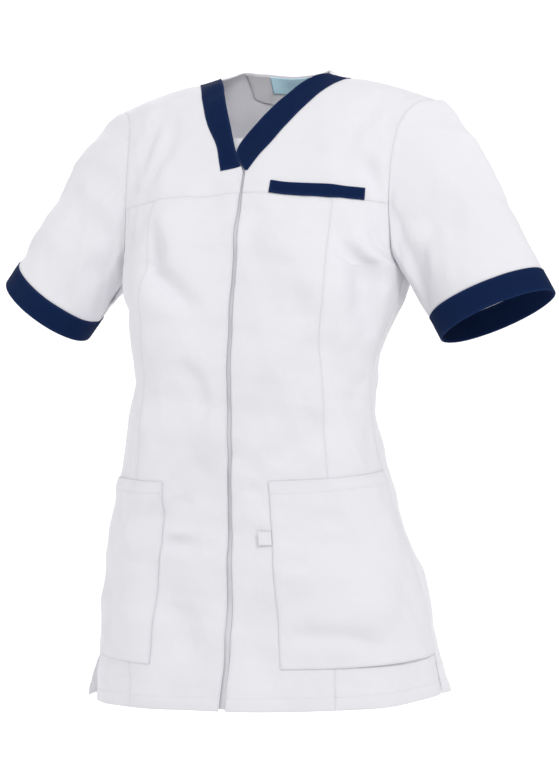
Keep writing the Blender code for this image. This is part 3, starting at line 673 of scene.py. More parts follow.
def run_lengths(points):
    """Lengths along each row of a grid of points, from its first column."""
    lengths = np.linalg.norm(np.diff(points, axis=1), axis=2)
    return np.concatenate((np.zeros((len(points), 1)), np.cumsum(lengths, axis=1)), axis=1)


def spread(length, near, far, count):
    """Distances along lines of several lengths, close together at both ends."""
    near, far = np.array(near)[None, :], np.array(far)[None, ::-1]
    length = length[:, None]
    squeeze = np.minimum(1, 0.8 * length / (near.max() + far.max()))
    first, last = near * squeeze, length - far * squeeze
    middle = lerp(first[:, -1:], last[:, :1], np.arange(1, count)[None, :] / count)
    return np.concatenate((first, middle, last), axis=1)


def redrawn(points, values, near, far):
    """Grids of values drawn again along each row, at set distances from both ends."""
    run = run_lengths(points)
    length = run[:, -1]
    plain = max(float(length.mean()) - max(near) - max(far), 0)
    count = max(2, round(plain / SPACING))
    goal = spread(length, near, far, count)
    return [
        np.array([np.interp(goal[i], run[i], value[i]) for i in range(len(run))]) for value in values
    ]


def fine_grid(side, share, tape, near):
    """A panel's grid drawn again, with lines close together near its edges."""
    points = torso_point(side, share, tape)
    share, tape = redrawn(points, (share, tape), near["first"], near["last"])
    points = torso_point(side, share, tape).transpose(1, 0, 2)
    share, tape = redrawn(points, (share.T, tape.T), near["top"], near["bottom"])
    return share.T, tape.T


def edge_distances(points):
    """The distance of every grid point from each edge, and how far along that edge it lies."""
    across, down = run_lengths(points), run_lengths(points.transpose(1, 0, 2)).T
    return {
        "first": (across, down),
        "last": (across[:, -1:] - across, down),
        "top": (down, across),
        "bottom": (down[-1:] - down, across),
    }


def ripple(along, seed):
    """An uneven wave along a seam, from -1 to 1."""
    parts = ((0.017, 0.5), (0.0095, 0.3), (0.031, 0.35), (0.0061, 0.15))
    return sum(size * np.sin(along * 2 * math.pi / step + seed * 2.3 + step * 900) for step, size in parts)


def seam_profile(distance, along, depth):
    """A pressed seam: the cloth rolls in at the edge and puckers a little."""
    roll = -depth * np.exp(-((distance / 0.0007) ** 1.4))
    allowance = depth * 0.4 * bump((distance - 0.0050) / 0.0035)
    pucker = 0.00022 * ripple(along, PUCKER_START) * np.exp(-distance / 0.008)
    return roll + allowance + pucker


def stitched_profile(distance, along, seed, rows):
    """A stitched edge: rounded, with the cloth drawn down along each row of stitches."""
    edge = -0.0006 * np.clip(1 - distance / 0.0009, 0, 1) ** 2
    band = 0.00035 * (1 - smooth_step((distance - max(rows)) / 0.0016))
    height = edge + band
    for row in rows:
        height = height - 0.00042 * bump((distance - row) / 0.0009)
    pucker = ripple(along, seed) * bump((distance - max(rows)) / 0.006)
    return height + 0.00024 * pucker


EDGES = {
    "seam": (NEAR_SEAM, ()),
    "faint": (NEAR_SEAM, ()),
    "armhole": (NEAR_SEAM, ()),
    "stitched": (NEAR_STITCH, (0.0014,)),
    "twice": (NEAR_STITCH, (0.0014, 0.0064)),
    "hem": (NEAR_HEM, (0.0140,)),
    "free": (NEAR_SEAM, ()),
}


def edge_height(style, distance, along, seed):
    """The height that an edge's style gives to the cloth near it."""
    rows = EDGES[style][1]
    if rows:
        return stitched_profile(distance, along, seed, rows)
    if style in SEAM_DEPTHS:
        return seam_profile(distance, along, SEAM_DEPTHS[style])
    return -0.0005 * np.clip(1 - distance / 0.0008, 0, 1) ** 2


def cloth_object(name, material, outer, inner, places, edge_shade_and_wear, tube=False):
    """One closed wall of cloth between an outer and an inner grid of points."""
    rows, count = outer.shape[:2]
    bm = bmesh.new()
    bmesh.ops.create_grid(bm, x_segments=count - 1, y_segments=rows - 1, size=0.5)
    row_of = bm.verts.layers.int.new("row")
    column_of = bm.verts.layers.int.new("column")
    edge_shaded_and_worn = bm.verts.layers.float.new("edge_shade_and_wear")
    for vertex in bm.verts:
        row = vertex[row_of] = round((vertex.co.y + 0.5) * (rows - 1))
        column = vertex[column_of] = round((vertex.co.x + 0.5) * (count - 1))
        vertex.co = outer[row, column]
        vertex[edge_shaded_and_worn] = edge_shade_and_wear[row, column]
    pattern = bm.loops.layers.uv.new("cloth")
    for face in bm.faces:
        for loop in face.loops:
            loop[pattern].uv = places[loop.vert[row_of], loop.vert[column_of]]
    if tube:
        bmesh.ops.remove_doubles(bm, verts=bm.verts[:], dist=WELD)
    grown = bmesh.ops.extrude_face_region(bm, geom=bm.faces[:], use_keep_orig=True)
    for item in grown["geom"]:
        if isinstance(item, bmesh.types.BMVert):
            item.co = inner[item[row_of], item[column_of]]
    bmesh.ops.recalc_face_normals(bm, faces=bm.faces[:])
    for face in bm.faces:
        face.smooth = True
    bm.verts.layers.int.remove(bm.verts.layers.int["row"])
    bm.verts.layers.int.remove(bm.verts.layers.int["column"])
    mesh = bpy.data.meshes.new(name)
    bm.to_mesh(mesh)
    bm.free()
    mesh.materials.append(material)
    piece = bpy.data.objects.new(name, mesh)
    bpy.context.scene.collection.objects.link(piece)
    return piece


def set_in_frame(piece, node):
    """Lets a piece stand for its CAD node and move with the garment."""
    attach(piece, "root")
    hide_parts(node)


def declare_sheet(points):
    """Measures how large the piece of cloth is when it is laid flat, and keeps neither size."""
    across = run_lengths(points)[:, -1].max()
    down = run_lengths(points.transpose(1, 0, 2))[:, -1].max()


class Sewing:
    """Rows of stitches gathered while the panels are made."""

    rows = {"white": [], "navy": []}

    @classmethod
    def keep(cls, thread, points, out):
        cls.rows[thread].append((points, out))


def keep_stitches(thread, outer, out, distances, edges):
    """Notes the stitched rows beside a panel's edges."""
    for edge, style in edges.items():
        distance = distances[edge][0]
        for row in EDGES[style][1]:
            nearest = np.abs(distance - row)
            if edge in ("first", "last"):
                at = nearest.argmin(axis=1)
                index = (np.arange(len(at)), at)
            else:
                at = nearest.argmin(axis=0)
                index = (at, np.arange(len(at)))
            good = nearest[index] < 0.0012
            if good.sum() > 3:
                Sewing.keep(thread, outer[index][good], out[index][good])


def panel(side, share, tape, edges, name, material, thread="white", low=-WALL, high=0.0, seed=0.0,
          extra=None):
    """One panel of the body: its fine grid, creases, edges, stitches and wall."""
    near = {edge: EDGES[edges[edge]][0] for edge in ("first", "last", "top", "bottom")}
    share, tape = fine_grid(side, share, tape, near)
    points, out = torso(side, share, tape)
    creasing = bpy.context.scene.tunic.creasing
    height = fold_relief(side, share, tape, CREASES, 0.45) * creasing
    height = height + fold_relief(side, share, tape, FOLDS, 0.45) * (creasing - 1)
    height = height + swell(share * GIRTH, tape, 1.0 if side == "front" else 2.0) * creasing
    height = height * (1 - np.clip(np.abs(share), 0, 1) ** FOLD_FADE) * smooth_step(tape / SHOULDER_CALM)
    height = height + hem_wave(side, share, tape) * creasing
    if extra is not None:
        height = height + extra(share, tape)
    base = points + out * height[..., None]
    distances = edge_distances(points)
    local = np.zeros_like(height)
    closing, edge_shade_and_wear = np.zeros_like(height), np.zeros_like(height)
    for step, (edge, style) in enumerate(edges.items()):
        distance, along = distances[edge]
        local = local + edge_height(style, distance, along, seed + step)
        closing = np.maximum(closing, np.clip(1 - distance / 0.0007, 0, 1))
        # Edge colour mask: painted shade along the edges of white cloth and the label, lighter worn edges on navy
        edge_shade_and_wear = np.maximum(edge_shade_and_wear, np.exp(-distance / EDGE_SHADE_AND_WEAR_REACH))
    outer = base + out * (high + local)[..., None]
    inner = base + out * (low + 0.25 * local * (1 - closing) + 0.0004 * closing)[..., None]
    places = np.stack((share * GIRTH, -tape), axis=-1)
    piece = cloth_object(name, material, outer, inner, places, edge_shade_and_wear)
    set_in_frame(piece, name)
    declare_sheet(points)
    keep_stitches(thread, outer, out, distances, edges)
    return piece


def shader_material(name):
    """A new material with its nodes, and its Principled shader."""
    material = bpy.data.materials.new(name)
    material.use_nodes = True
    return material, material.node_tree, material.node_tree.nodes["Principled BSDF"]


def cloth_material(name, colour, edge_shade_and_wear_colour, weave, sheen, contrast, roughness=0.85, shine=0.2, thin=0.0):
    """Twill: ribs that follow the cloth, fine fibres and a faint unevenness of colour."""
    material, tree, shader = shader_material(name)
    add, link = tree.nodes.new, tree.links.new
    shader.inputs["Specular IOR Level"].default_value = shine
    shader.inputs["Subsurface Weight"].default_value = thin
    shader.inputs["Subsurface Radius"].default_value = (1.0, 1.0, 1.0)
    shader.inputs["Subsurface Scale"].default_value = THIN_REACH
    shader.inputs["Sheen Weight"].default_value = sheen
    shader.inputs["Sheen Roughness"].default_value = 0.5
    places = add("ShaderNodeUVMap")
    places.uv_map = "cloth"
    ribs = []
    for angle, scale in ((32.0, 1.0), (-58.0, 1.35)):
        mapping = add("ShaderNodeMapping")
        mapping.inputs["Rotation"].default_value = (0.0, 0.0, math.radians(angle))
        wave = add("ShaderNodeTexWave")
        wave.inputs["Scale"].default_value = scale / weave / 3.2
        wave.inputs["Distortion"].default_value = 0.6
        wave.inputs["Detail"].default_value = 1.0
        wave.inputs["Detail Scale"].default_value = 1.5
        link(places.outputs["UV"], mapping.inputs["Vector"])
        link(mapping.outputs["Vector"], wave.inputs["Vector"])
        ribs.append(wave)
    weft = add("ShaderNodeMath")
    weft.operation = "MULTIPLY_ADD"
    weft.inputs[1].default_value = 0.35
    link(ribs[1].outputs["Fac"], weft.inputs[0])
    link(ribs[0].outputs["Fac"], weft.inputs[2])
    solid = add("ShaderNodeTexCoord")
    fibres = add("ShaderNodeTexNoise")
    fibres.inputs["Scale"].default_value = 900.0
    fibres.inputs["Detail"].default_value = 4.0
    link(solid.outputs["Object"], fibres.inputs["Vector"])
    patches = add("ShaderNodeTexNoise")
    patches.inputs["Scale"].default_value = 9.0
    patches.inputs["Detail"].default_value = 3.0
    link(solid.outputs["Object"], patches.inputs["Vector"])
    blend = add("ShaderNodeMath")
    blend.operation = "MULTIPLY_ADD"
    blend.inputs[1].default_value = 0.5
    link(fibres.outputs["Fac"], blend.inputs[0])
    link(patches.outputs["Fac"], blend.inputs[2])
    tint = add("ShaderNodeMix")
    tint.data_type = "RGBA"
    dark = tuple(value * (1 - contrast) for value in colour)
    light = tuple(min(1.0, value * (1 + contrast * 0.6)) for value in colour)
    tint.inputs[6].default_value = (*dark, 1.0)
    tint.inputs[7].default_value = (*light, 1.0)
    link(blend.outputs["Value"], tint.inputs["Factor"])
    # Towards each edge the colour turns to the edge colour: painted shade on white cloth and the label, lighter worn
    # edges on navy
    edge = add("ShaderNodeAttribute")
    edge.attribute_name = "edge_shade_and_wear"
    edge_shaded_and_worn = add("ShaderNodeMix")
    edge_shaded_and_worn.data_type = "RGBA"
    edge_shaded_and_worn.inputs[7].default_value = (*edge_shade_and_wear_colour, 1.0)
    share = add("ShaderNodeMath")
    share.operation = "MULTIPLY"
    link(edge.outputs["Fac"], share.inputs[0])
    link(fibres.outputs["Fac"], share.inputs[1])
    link(share.outputs["Value"], edge_shaded_and_worn.inputs["Factor"])
    link(tint.outputs[2], edge_shaded_and_worn.inputs[6])
    link(edge_shaded_and_worn.outputs[2], shader.inputs["Base Color"])
    rough = add("ShaderNodeMapRange")
    rough.inputs["To Min"].default_value = roughness - 0.08
    rough.inputs["To Max"].default_value = min(1.0, roughness + 0.08)
    link(patches.outputs["Fac"], rough.inputs["Value"])
    link(rough.outputs["Result"], shader.inputs["Roughness"])
    twill = add("ShaderNodeBump")
    twill.inputs["Strength"].default_value = 0.35
    twill.inputs["Distance"].default_value = 0.00012
    link(weft.outputs["Value"], twill.inputs["Height"])
    fuzz = add("ShaderNodeBump")
    fuzz.inputs["Strength"].default_value = 0.25
    fuzz.inputs["Distance"].default_value = 0.00010
    link(fibres.outputs["Fac"], fuzz.inputs["Height"])
    link(twill.outputs["Normal"], fuzz.inputs["Normal"])
    link(fuzz.outputs["Normal"], shader.inputs["Normal"])
    return material


def thread_material(name, colour):
    """Twisted thread: fine bumps across a plain colour."""
    material, tree, shader = shader_material(name)
    add, link = tree.nodes.new, tree.links.new
    shader.inputs["Roughness"].default_value = 0.6
    shader.inputs["Base Color"].default_value = (*colour, 1.0)
    solid = add("ShaderNodeTexCoord")
    twist = add("ShaderNodeTexNoise")
    twist.inputs["Scale"].default_value = 2500.0
    link(solid.outputs["Object"], twist.inputs["Vector"])
    ridge = add("ShaderNodeBump")
    ridge.inputs["Strength"].default_value = 0.4
    ridge.inputs["Distance"].default_value = 0.0001
    link(twist.outputs["Fac"], ridge.inputs["Height"])
    link(ridge.outputs["Normal"], shader.inputs["Normal"])
    return material


def finish_of(kind):
    """The finish of one kind of cloth or thread, made once."""
    name = {"white": "white_twill", "thin": "white_twill_against_light", "inner": "white_twill_painted_shade", "navy": "navy_twill",
            "label": "label_satin", "white_thread": "white_thread", "navy_thread": "navy_thread"}[kind]
    found = bpy.data.materials.get(name)
    if found is not None:
        return found
    tunic = bpy.context.scene.tunic
    white, navy = tuple(tunic.white), tuple(tunic.navy)
    if kind in ("white", "thin"):
        thin = THIN if kind == "thin" else 0.0
        # White cloth turns darker towards its edges: painted shade along seams and edges
        edge_shaded_and_worn = tuple(value * 0.86 for value in white)
        return cloth_material(name, white, edge_shaded_and_worn, tunic.weave, 0.10, 0.035, thin=thin)
    # The strip behind the opening: the white cloth painted a little darker as painted shade inside the opening, and
    # darker still towards its edges
    if kind == "inner":
        inner = tuple(value * 0.94 for value in white)
        return cloth_material(name, inner, tuple(value * 0.8 for value in white), tunic.weave, 0.10, 0.035)
    if kind == "navy":
        # Navy turns lighter towards its edges, as worn edges do
        edge_shaded_and_worn = tuple(value * 2.2 + 0.004 for value in navy)
        return cloth_material(name, navy, edge_shaded_and_worn, tunic.weave, 0.01, 0.25, shine=0.06)
    if kind == "label":
        label = tuple(tunic.label)
        # The label turns darker towards its edges: painted shade
        return cloth_material(name, label, tuple(value * 0.9 for value in label), tunic.weave * 0.6, 0.0, 0.04, 0.5)
    if kind == "white_thread":
        return thread_material(name, tuple(tunic.thread))
    return thread_material(name, tuple(value * 1.6 for value in navy))


def back_outline():
    """Shares and tapes of the whole back, neckline to hem."""
    neck = float(share_at("back", NECK_HALF, 0.0))
    half = steps(0, neck, 24) + steps(neck, 1, 30)[1:]
    share = np.array([-value for value in half[:0:-1]] + half)
    top = 0.0
    for _ in range(SOLVE_ROUNDS):
        x = torso_point("back", share, top)[..., 0]
        inside = np.clip(1 - (x / NECK_HALF) ** 2, 0, None)
        top = NECK_BACK_TAPE * inside**NECK_BACK_CURVE
    tapes = [lerp(top, cross_tape(UNDERARM, share), step) for step in steps(0, 1, 50)]
    tapes += [cross_tape(row, share) for row in steps(UNDERARM, HEM, 100)[1:]]
    return np.repeat(share[None, :], len(tapes), axis=0), np.array(tapes)


def dart_relief(share, tape):
    """The grooves of the back's long darts."""
    height = np.zeros_like(share)
    for place, top, bottom in DARTS:
        along = (tape - top) / (bottom - top)
        inside = np.clip(4 * along * (1 - along), 0, 1) ** 0.35
        aside = (share - place) * GIRTH
        pucker = 0.25 * ripple(tape, place * 9) * bump(aside / 0.008)
        height = height + inside * (DART_DEPTH * bump(aside / DART_WIDTH) + 0.0006 * pucker)
    return height


class TUNIC_OT_back(Operator):
    """Makes the back with its darts and its open neck"""

    bl_idname = "tunic.back"
    bl_label = "Back"

    def execute(self, context):
        share, tape = back_outline()
        edges = {"first": "armhole", "last": "armhole", "top": "stitched", "bottom": "hem"}
        panel("back", share, tape, edges, "back", finish_of("thin"), seed=4.0,
              extra=dart_relief)
        return {"FINISHED"}


def inside_neck(name, kind, middle, half, drop, deep, thick, seed):
    """A piece that lies against the inside of the back's neck, hanging from its edge."""
    x = np.array(steps(middle - half, middle + half, 24))
    share = share_at("back", x, 0.02)
    top = 0.0
    for _ in range(SOLVE_ROUNDS):
        here = torso_point("back", share, top)[..., 0]
        inside = np.clip(1 - (here / NECK_HALF) ** 2, 0, None)
        top = NECK_BACK_TAPE * inside**NECK_BACK_CURVE
    tapes = np.array([top + 0.0012 + drop * step for step in steps(0, 1, 20)])
    edges = dict.fromkeys(("first", "last", "top", "bottom"), "free")
    low = -WALL - deep
    shares = np.repeat(share[None, :], len(tapes), axis=0)
    return panel("back", shares, tapes, edges, name, finish_of(kind), low=low - thick, high=low, seed=seed)


class TUNIC_OT_neck_inside(Operator):
    """Makes the facing inside the back's neck, the bare neck label and the size tab"""

    bl_idname = "tunic.neck_inside"
    bl_label = "Inside of the neck"

    def execute(self, context):
        first = LAP_GAP
        second = first + STRIP_WALL + LAP_GAP
        inside_neck("back_neck_facing", "thin", 0.0, FACING_REACH, FACING_DROP, first, STRIP_WALL, 1.0)
        inside_neck("neck_label", "label", LABEL_MIDDLE, LABEL_HALF, LABEL_DROP, second, LABEL_WALL, 2.0)
        inside_neck("size_tab", "white", SIZE_MIDDLE, SIZE_HALF, SIZE_DROP, second, LABEL_WALL, 3.0)
        return {"FINISHED"}


def placket_step(share, tape):
    """The wearer's right edge of the opening stands up a little, the left one lies lower."""
    hand = np.where(share > opening_share(0, tape), 1, -1)
    away = np.abs(share - opening_share(0, tape)) * GIRTH
    rise = 1 - smooth_step(away / PLACKET_REACH)
    return -hand * PLACKET_STEP * rise * smooth_step((tape - 0.13) / 0.05)


class TUNIC_OT_fronts(Operator):
    """Makes the centre fronts and side fronts below the chest seam"""

    bl_idname = "tunic.fronts"
    bl_label = "Lower fronts"

    def execute(self, context):
        white = finish_of("white")
        rows = steps(CHEST_SEAM, UNDERARM, 16) + steps(UNDERARM, HEM, 90)[1:]
        for hand, word in WORDS.items():
            share, tape = front_grid(hand, steps(0, 1, 8) + steps(1, 2, 8)[1:], rows)
            kind = SEAMS_BY_HAND[hand]
            edges = {"first": "stitched", "last": kind, "top": kind, "bottom": "hem"}
            panel("front", share, tape, edges, f"front_centre_{word}", white,
                  seed=5.0 + hand, extra=placket_step)
            share, tape = front_grid(hand, steps(2, 3, 14), rows)
            edges = {"first": kind, "last": "armhole", "top": kind, "bottom": "hem"}
            panel("front", share, tape, edges, f"front_side_{word}", white,
                  seed=9.0 + hand)
        return {"FINISHED"}


def yoke_inner_x(hand, tape):
    """Sideways place of a front yoke's inner edge: just under the neck band, then the opening."""
    middle = through(OPENING_LINE["tape"], OPENING_LINE["middle"], tape)
    width = through(OPENING_LINE["tape"], OPENING_LINE["width"], tape)
    wrap = TRIM_WRAP * smooth_step((TRIM_END - 0.008 - tape) / 0.02)
    band = trim_x(hand, "inner", tape) + hand * wrap
    return np.where(tape < TRIM_END, band, middle + hand * width / 2)


class TUNIC_OT_yokes(Operator):
    """Makes the front yokes above the chest seam"""

    bl_idname = "tunic.yokes"
    bl_label = "Front yokes"

    def execute(self, context):
        for hand, word in WORDS.items():
            across = np.array(steps(0, 1, 60))
            shares, tapes = [], []
            for step in steps(0, 1, 60):
                tape = np.zeros_like(across)
                for _ in range(SOLVE_ROUNDS):
                    inner = share_at("front", yoke_inner_x(hand, tape), tape)
                    share = lerp(inner, hand, across)
                    tape = cross_tape(CHEST_SEAM, share) * step
                shares.append(share)
                tapes.append(tape)
            edges = {"first": "free", "last": "armhole", "top": "seam", "bottom": SEAMS_BY_HAND[hand]}
            panel("front", np.array(shares), np.array(tapes), edges, f"front_yoke_{word}", finish_of("white"),
                  seed=13.0 + hand)
        return {"FINISHED"}


class TUNIC_OT_neck_band(Operator):
    """Makes the two navy bands of the neck"""

    bl_idname = "tunic.neck_band"
    bl_label = "Neck band"

    def execute(self, context):
        for hand, word in WORDS.items():
            end = TRIM_END - TRIM_SLANTS[hand] * (1 - np.array(steps(0, 1, 12)))
            tape = np.array(steps(0, 1, 60))[:, None] * end[None, :]
            inner = trim_x(hand, "inner", tape)
            outer = trim_x(hand, "outer", tape)
            share = share_at("front", lerp(inner, outer, np.array(steps(0, 1, 12))[None, :]), tape)
            edges = {"first": "stitched", "last": "stitched", "top": "seam", "bottom": "free"}
            panel("front", share, tape, edges, f"neck_trim_{word}", finish_of("navy"),
                  thread="navy", low=0.0001, high=TRIM_PROUD, seed=17.0 + hand)
        return {"FINISHED"}


class TUNIC_OT_chest_welt(Operator):
    """Makes the navy welt on the wearer's left chest"""

    bl_idname = "tunic.chest_welt"
    bl_label = "Chest welt"

    def execute(self, context):
        shares, tapes = [], []
        for step in steps(-1, 0, 8):
            x = np.array(steps(WELT_INNER, WELT_OUTER, 40))
            share = share_at("front", x, 0.155)
            tape = cross_tape(CHEST_SEAM, share) + step * WELT_HEIGHT
            shares.append(share_at("front", x, tape))
            tapes.append(tape)
        edges = {"first": "stitched", "last": "stitched", "top": "free", "bottom": "stitched"}
        panel("front", np.array(shares), np.array(tapes), edges, "chest_welt", finish_of("navy"),
              thread="navy", low=0.0001, high=0.0014, seed=21.0)
        return {"FINISHED"}


def bag(share, tape):
    """How far a hip pocket stands off the front inside its stitched edges."""
    hand = np.where(share > 0, 1.0, -1.0)
    down = (tape - CROSSES[POCKET_TOP][0]) / (CROSSES[POCKET_BOTTOM][0] - CROSSES[POCKET_TOP][0])
    inner = np.where(share > 0, 0.17, 0.37)
    across = (np.abs(share) - inner) / (1 - inner)
    rim = np.clip(4.4 * across * (1 - across), 0, 1) * smooth_step((1.03 - down) / 0.10)
    low = 0.0034 * bump((down - 0.86) / 0.15) * bump((across - 0.66) / 0.3) * (hand > 0)
    ripples = 0.0007 * np.sin(down * 17 + across * 5) * bump((across - 0.15) / 0.2)
    return rim * (0.0006 + low + ripples) * smooth_step((down + 0.02) / 0.12)


class TUNIC_OT_hip_pockets(Operator):
    """Makes the patch pockets at the hips"""

    bl_idname = "tunic.hip_pockets"
    bl_label = "Hip pockets"

    def execute(self, context):
        for hand, word in WORDS.items():
            share, tape = front_grid(hand, steps(1, 2, 10) + steps(2, 3, 14)[1:], steps(POCKET_TOP, POCKET_BOTTOM, 50))
            edges = {"first": "stitched", "last": "seam", "top": "hem", "bottom": "stitched"}
            panel("front", share, tape, edges, f"hip_pocket_{word}", finish_of("white"),
                  low=0.0001, high=0.0001 + STRIP_WALL, seed=25.0 + hand, extra=bag)
        return {"FINISHED"}


def tab_lift(share, tape):
    """How far the side tab's free end stands up."""
    edge = through(FRONT_LINE["tape"], FRONT_LINE["left_pocket"], tape)
    away = (share_at("front", edge, tape) - share) * GIRTH / TAB_REACH[0]
    return TAB_LIFT * np.clip(away, 0, 1.2) ** 1.6


class TUNIC_OT_opening_strip(Operator):
    """Makes the strip behind the front opening, and the small tab beside the left pocket"""

    bl_idname = "tunic.opening_strip"
    bl_label = "Opening strip and side tab"

    def execute(self, context):
        free = dict.fromkeys(("first", "last", "top", "bottom"), "free")
        tape = np.repeat(np.array(steps(UNDERLAP_TOP, UNDERLAP_END, 140))[:, None], 9, axis=1)
        middle = through(OPENING_LINE["tape"], OPENING_LINE["middle"], tape)
        aside = np.array(steps(-UNDERLAP_HALF, UNDERLAP_HALF, 8))[None, :]
        share = share_at("front", middle + aside, tape)
        low = -WALL - UNDERLAP_GAP
        # The strip is in the white cloth painted darker, as painted shade inside the opening
        panel("front", share, tape, free, "front_underlap", finish_of("inner"),
              low=low - STRIP_WALL, high=low, seed=29.0)
        tape = np.repeat(np.array(steps(*TAB_TAPES, 8))[:, None], 9, axis=1)
        edge = through(FRONT_LINE["tape"], FRONT_LINE["left_pocket"], tape)
        share = share_at("front", edge - np.array(steps(*TAB_REACH, 8))[None, :], tape)
        panel("front", share, tape, free, "side_tab", finish_of("white"),
              low=LAP_GAP, high=LAP_GAP + LABEL_WALL, seed=31.0, extra=tab_lift)
        return {"FINISHED"}


def armhole_frame(hand, front_tapes, back_tapes):
    """The closed armhole from the underarm up the front and down the back.

    Gives its points, the way the body's surface runs on past it, and the way it faces.
    """
    points, onward, out = [], [], []
    for side, tapes in (("front", front_tapes[::-1]), ("back", back_tapes[1:])):
        share = np.full(len(tapes), float(hand))
        here, facing = torso(side, share, tapes)
        past = here - torso_point(side, share - hand * STEP, tapes)
        points.append(here)
        onward.append(unit(past))
        out.append(facing)
    return np.concatenate(points), np.concatenate(onward), np.concatenate(out)


def sleeve_ends(row):
    """The way a sleeve runs, and the middle and half axes of its lower edge."""
    hand, reach, forward, height, half_width, half_depth, tilt, dip, slant = row
    tilt, dip, slant = (math.radians(angle) for angle in (tilt, dip, slant))
    axis = unit(np.array((hand * math.cos(slant), SLEEVE_FORWARD, -math.sin(slant))))
    width = half_width * np.array((hand * math.cos(tilt), 0.0, math.sin(tilt)))
    depth = half_depth * np.array((0.0, math.cos(dip), -math.sin(dip)))
    return axis, np.array((hand * reach, forward, height)), width, depth


def sleeve_field(row, front_tapes, back_tapes):
    """The sleeve's surface as a function of the place along it, one curve for each armhole point."""
    hand = row[0]
    points, onward, out = armhole_frame(hand, front_tapes, back_tapes)
    axis, middle, width, depth = sleeve_ends(row)
    turned = smooth_step(out @ axis / SLEEVE_TURN_IN)[:, None]
    start_way = unit(lerp(onward, axis[None, :], turned))
    start = points.copy()
    start[-1], start_way[-1] = start[0], start_way[0]
    lengths = np.linalg.norm(np.diff(points, axis=0), axis=1)
    run = np.concatenate(((0.0,), np.cumsum(lengths)))
    top = len(front_tapes) - 1
    around = np.where(run <= run[top], run / run[top] / 2, 0.5 + (run - run[top]) / (run[-1] - run[top]) / 2)
    angle = np.pi + 2 * np.pi * around
    end = middle + np.cos(angle)[:, None] * width + np.sin(angle)[:, None] * depth
    end[-1] = end[0]
    reach = np.linalg.norm(end - start, axis=1)[:, None]
    first = start_way * reach * SLEEVE_ROOT_PULL
    last = axis[None, :] * reach * SLEEVE_END_PULL

    def at(place):
        rest = 1 - place
        return (
            start * (1 + 2 * place) * rest**2
            + first * place * rest**2
            + end * (3 - 2 * place) * place**2
            - last * rest * place**2
        )

    return at, turned, out


def sleeve_points(row):
    """A sleeve's fine grid, armhole to cuff edge, its outward ways and how many rows are the cuff's."""
    tapes = {side: np.array(steps(0, UNDERARM_TAPE, 84)) for side in ("front", "back")}
    at, turned, body_out = sleeve_field(row, tapes["front"], tapes["back"])
    fine = np.stack([at(place) for place in steps(0, 1, 160)]).transpose(1, 0, 2)
    run = run_lengths(fine)
    total = run[:, -1]
    sleeve_near = (0.0, 0.0004, 0.0009, 0.0016, 0.0030, 0.0055)
    body = spread(total - CUFF_DEPTH, sleeve_near, (0.0, 0.0004, 0.0012, 0.0030, 0.0060), 50)
    cuff_near = (0.00015, 0.0006, 0.0014, 0.0022, 0.0035, 0.0055, 0.0070, 0.0085)
    cuff = spread(np.full(len(total), CUFF_DEPTH), cuff_near, (0.0, 0.0004, 0.0010, 0.0020, 0.0036), 7)
    goal = np.concatenate((body, total[:, None] - CUFF_DEPTH + cuff), axis=1)
    points = np.stack(
        [[np.interp(goal[j], run[j], fine[j, :, k]) for k in range(3)] for j in range(len(fine))]
    ).transpose(2, 0, 1)
    points[:, -1] = points[:, 0]
    down = np.gradient(points, axis=0)
    around = np.gradient(np.concatenate((points[:, -2:-1], points, points[:, 1:2]), axis=1), axis=1)[:, 1:-1]
    out = unit(np.cross(down, around)) * row[0]
    out[0] = unit(lerp(body_out, out[0], turned))
    out[:, -1] = out[:, 0]
    return points, out, body.shape[1], goal.T


def sleeve_relief(hand, around, down):
    """Creases and unevenness of a sleeve, the same where its two ends meet."""
    length = around[:, -1:].max()
    height = np.zeros_like(around)
    for side, start, start_down, end, end_down, bow, width, depth in SLEEVE_CREASES:
        if side == hand:
            for lap in (-length, 0.0, length):
                run = (end - start, end_down - start_down)
                height = height + crease(around - start + lap, down - start_down, run, bow, width, depth, 0.4)
    turn = around / length * 2 * math.pi
    x, y = np.cos(turn) * length / 6.3, np.sin(turn) * length / 6.3
    return height + swell(x + down * 0.6, y + down * 0.8, 5.0 + hand)


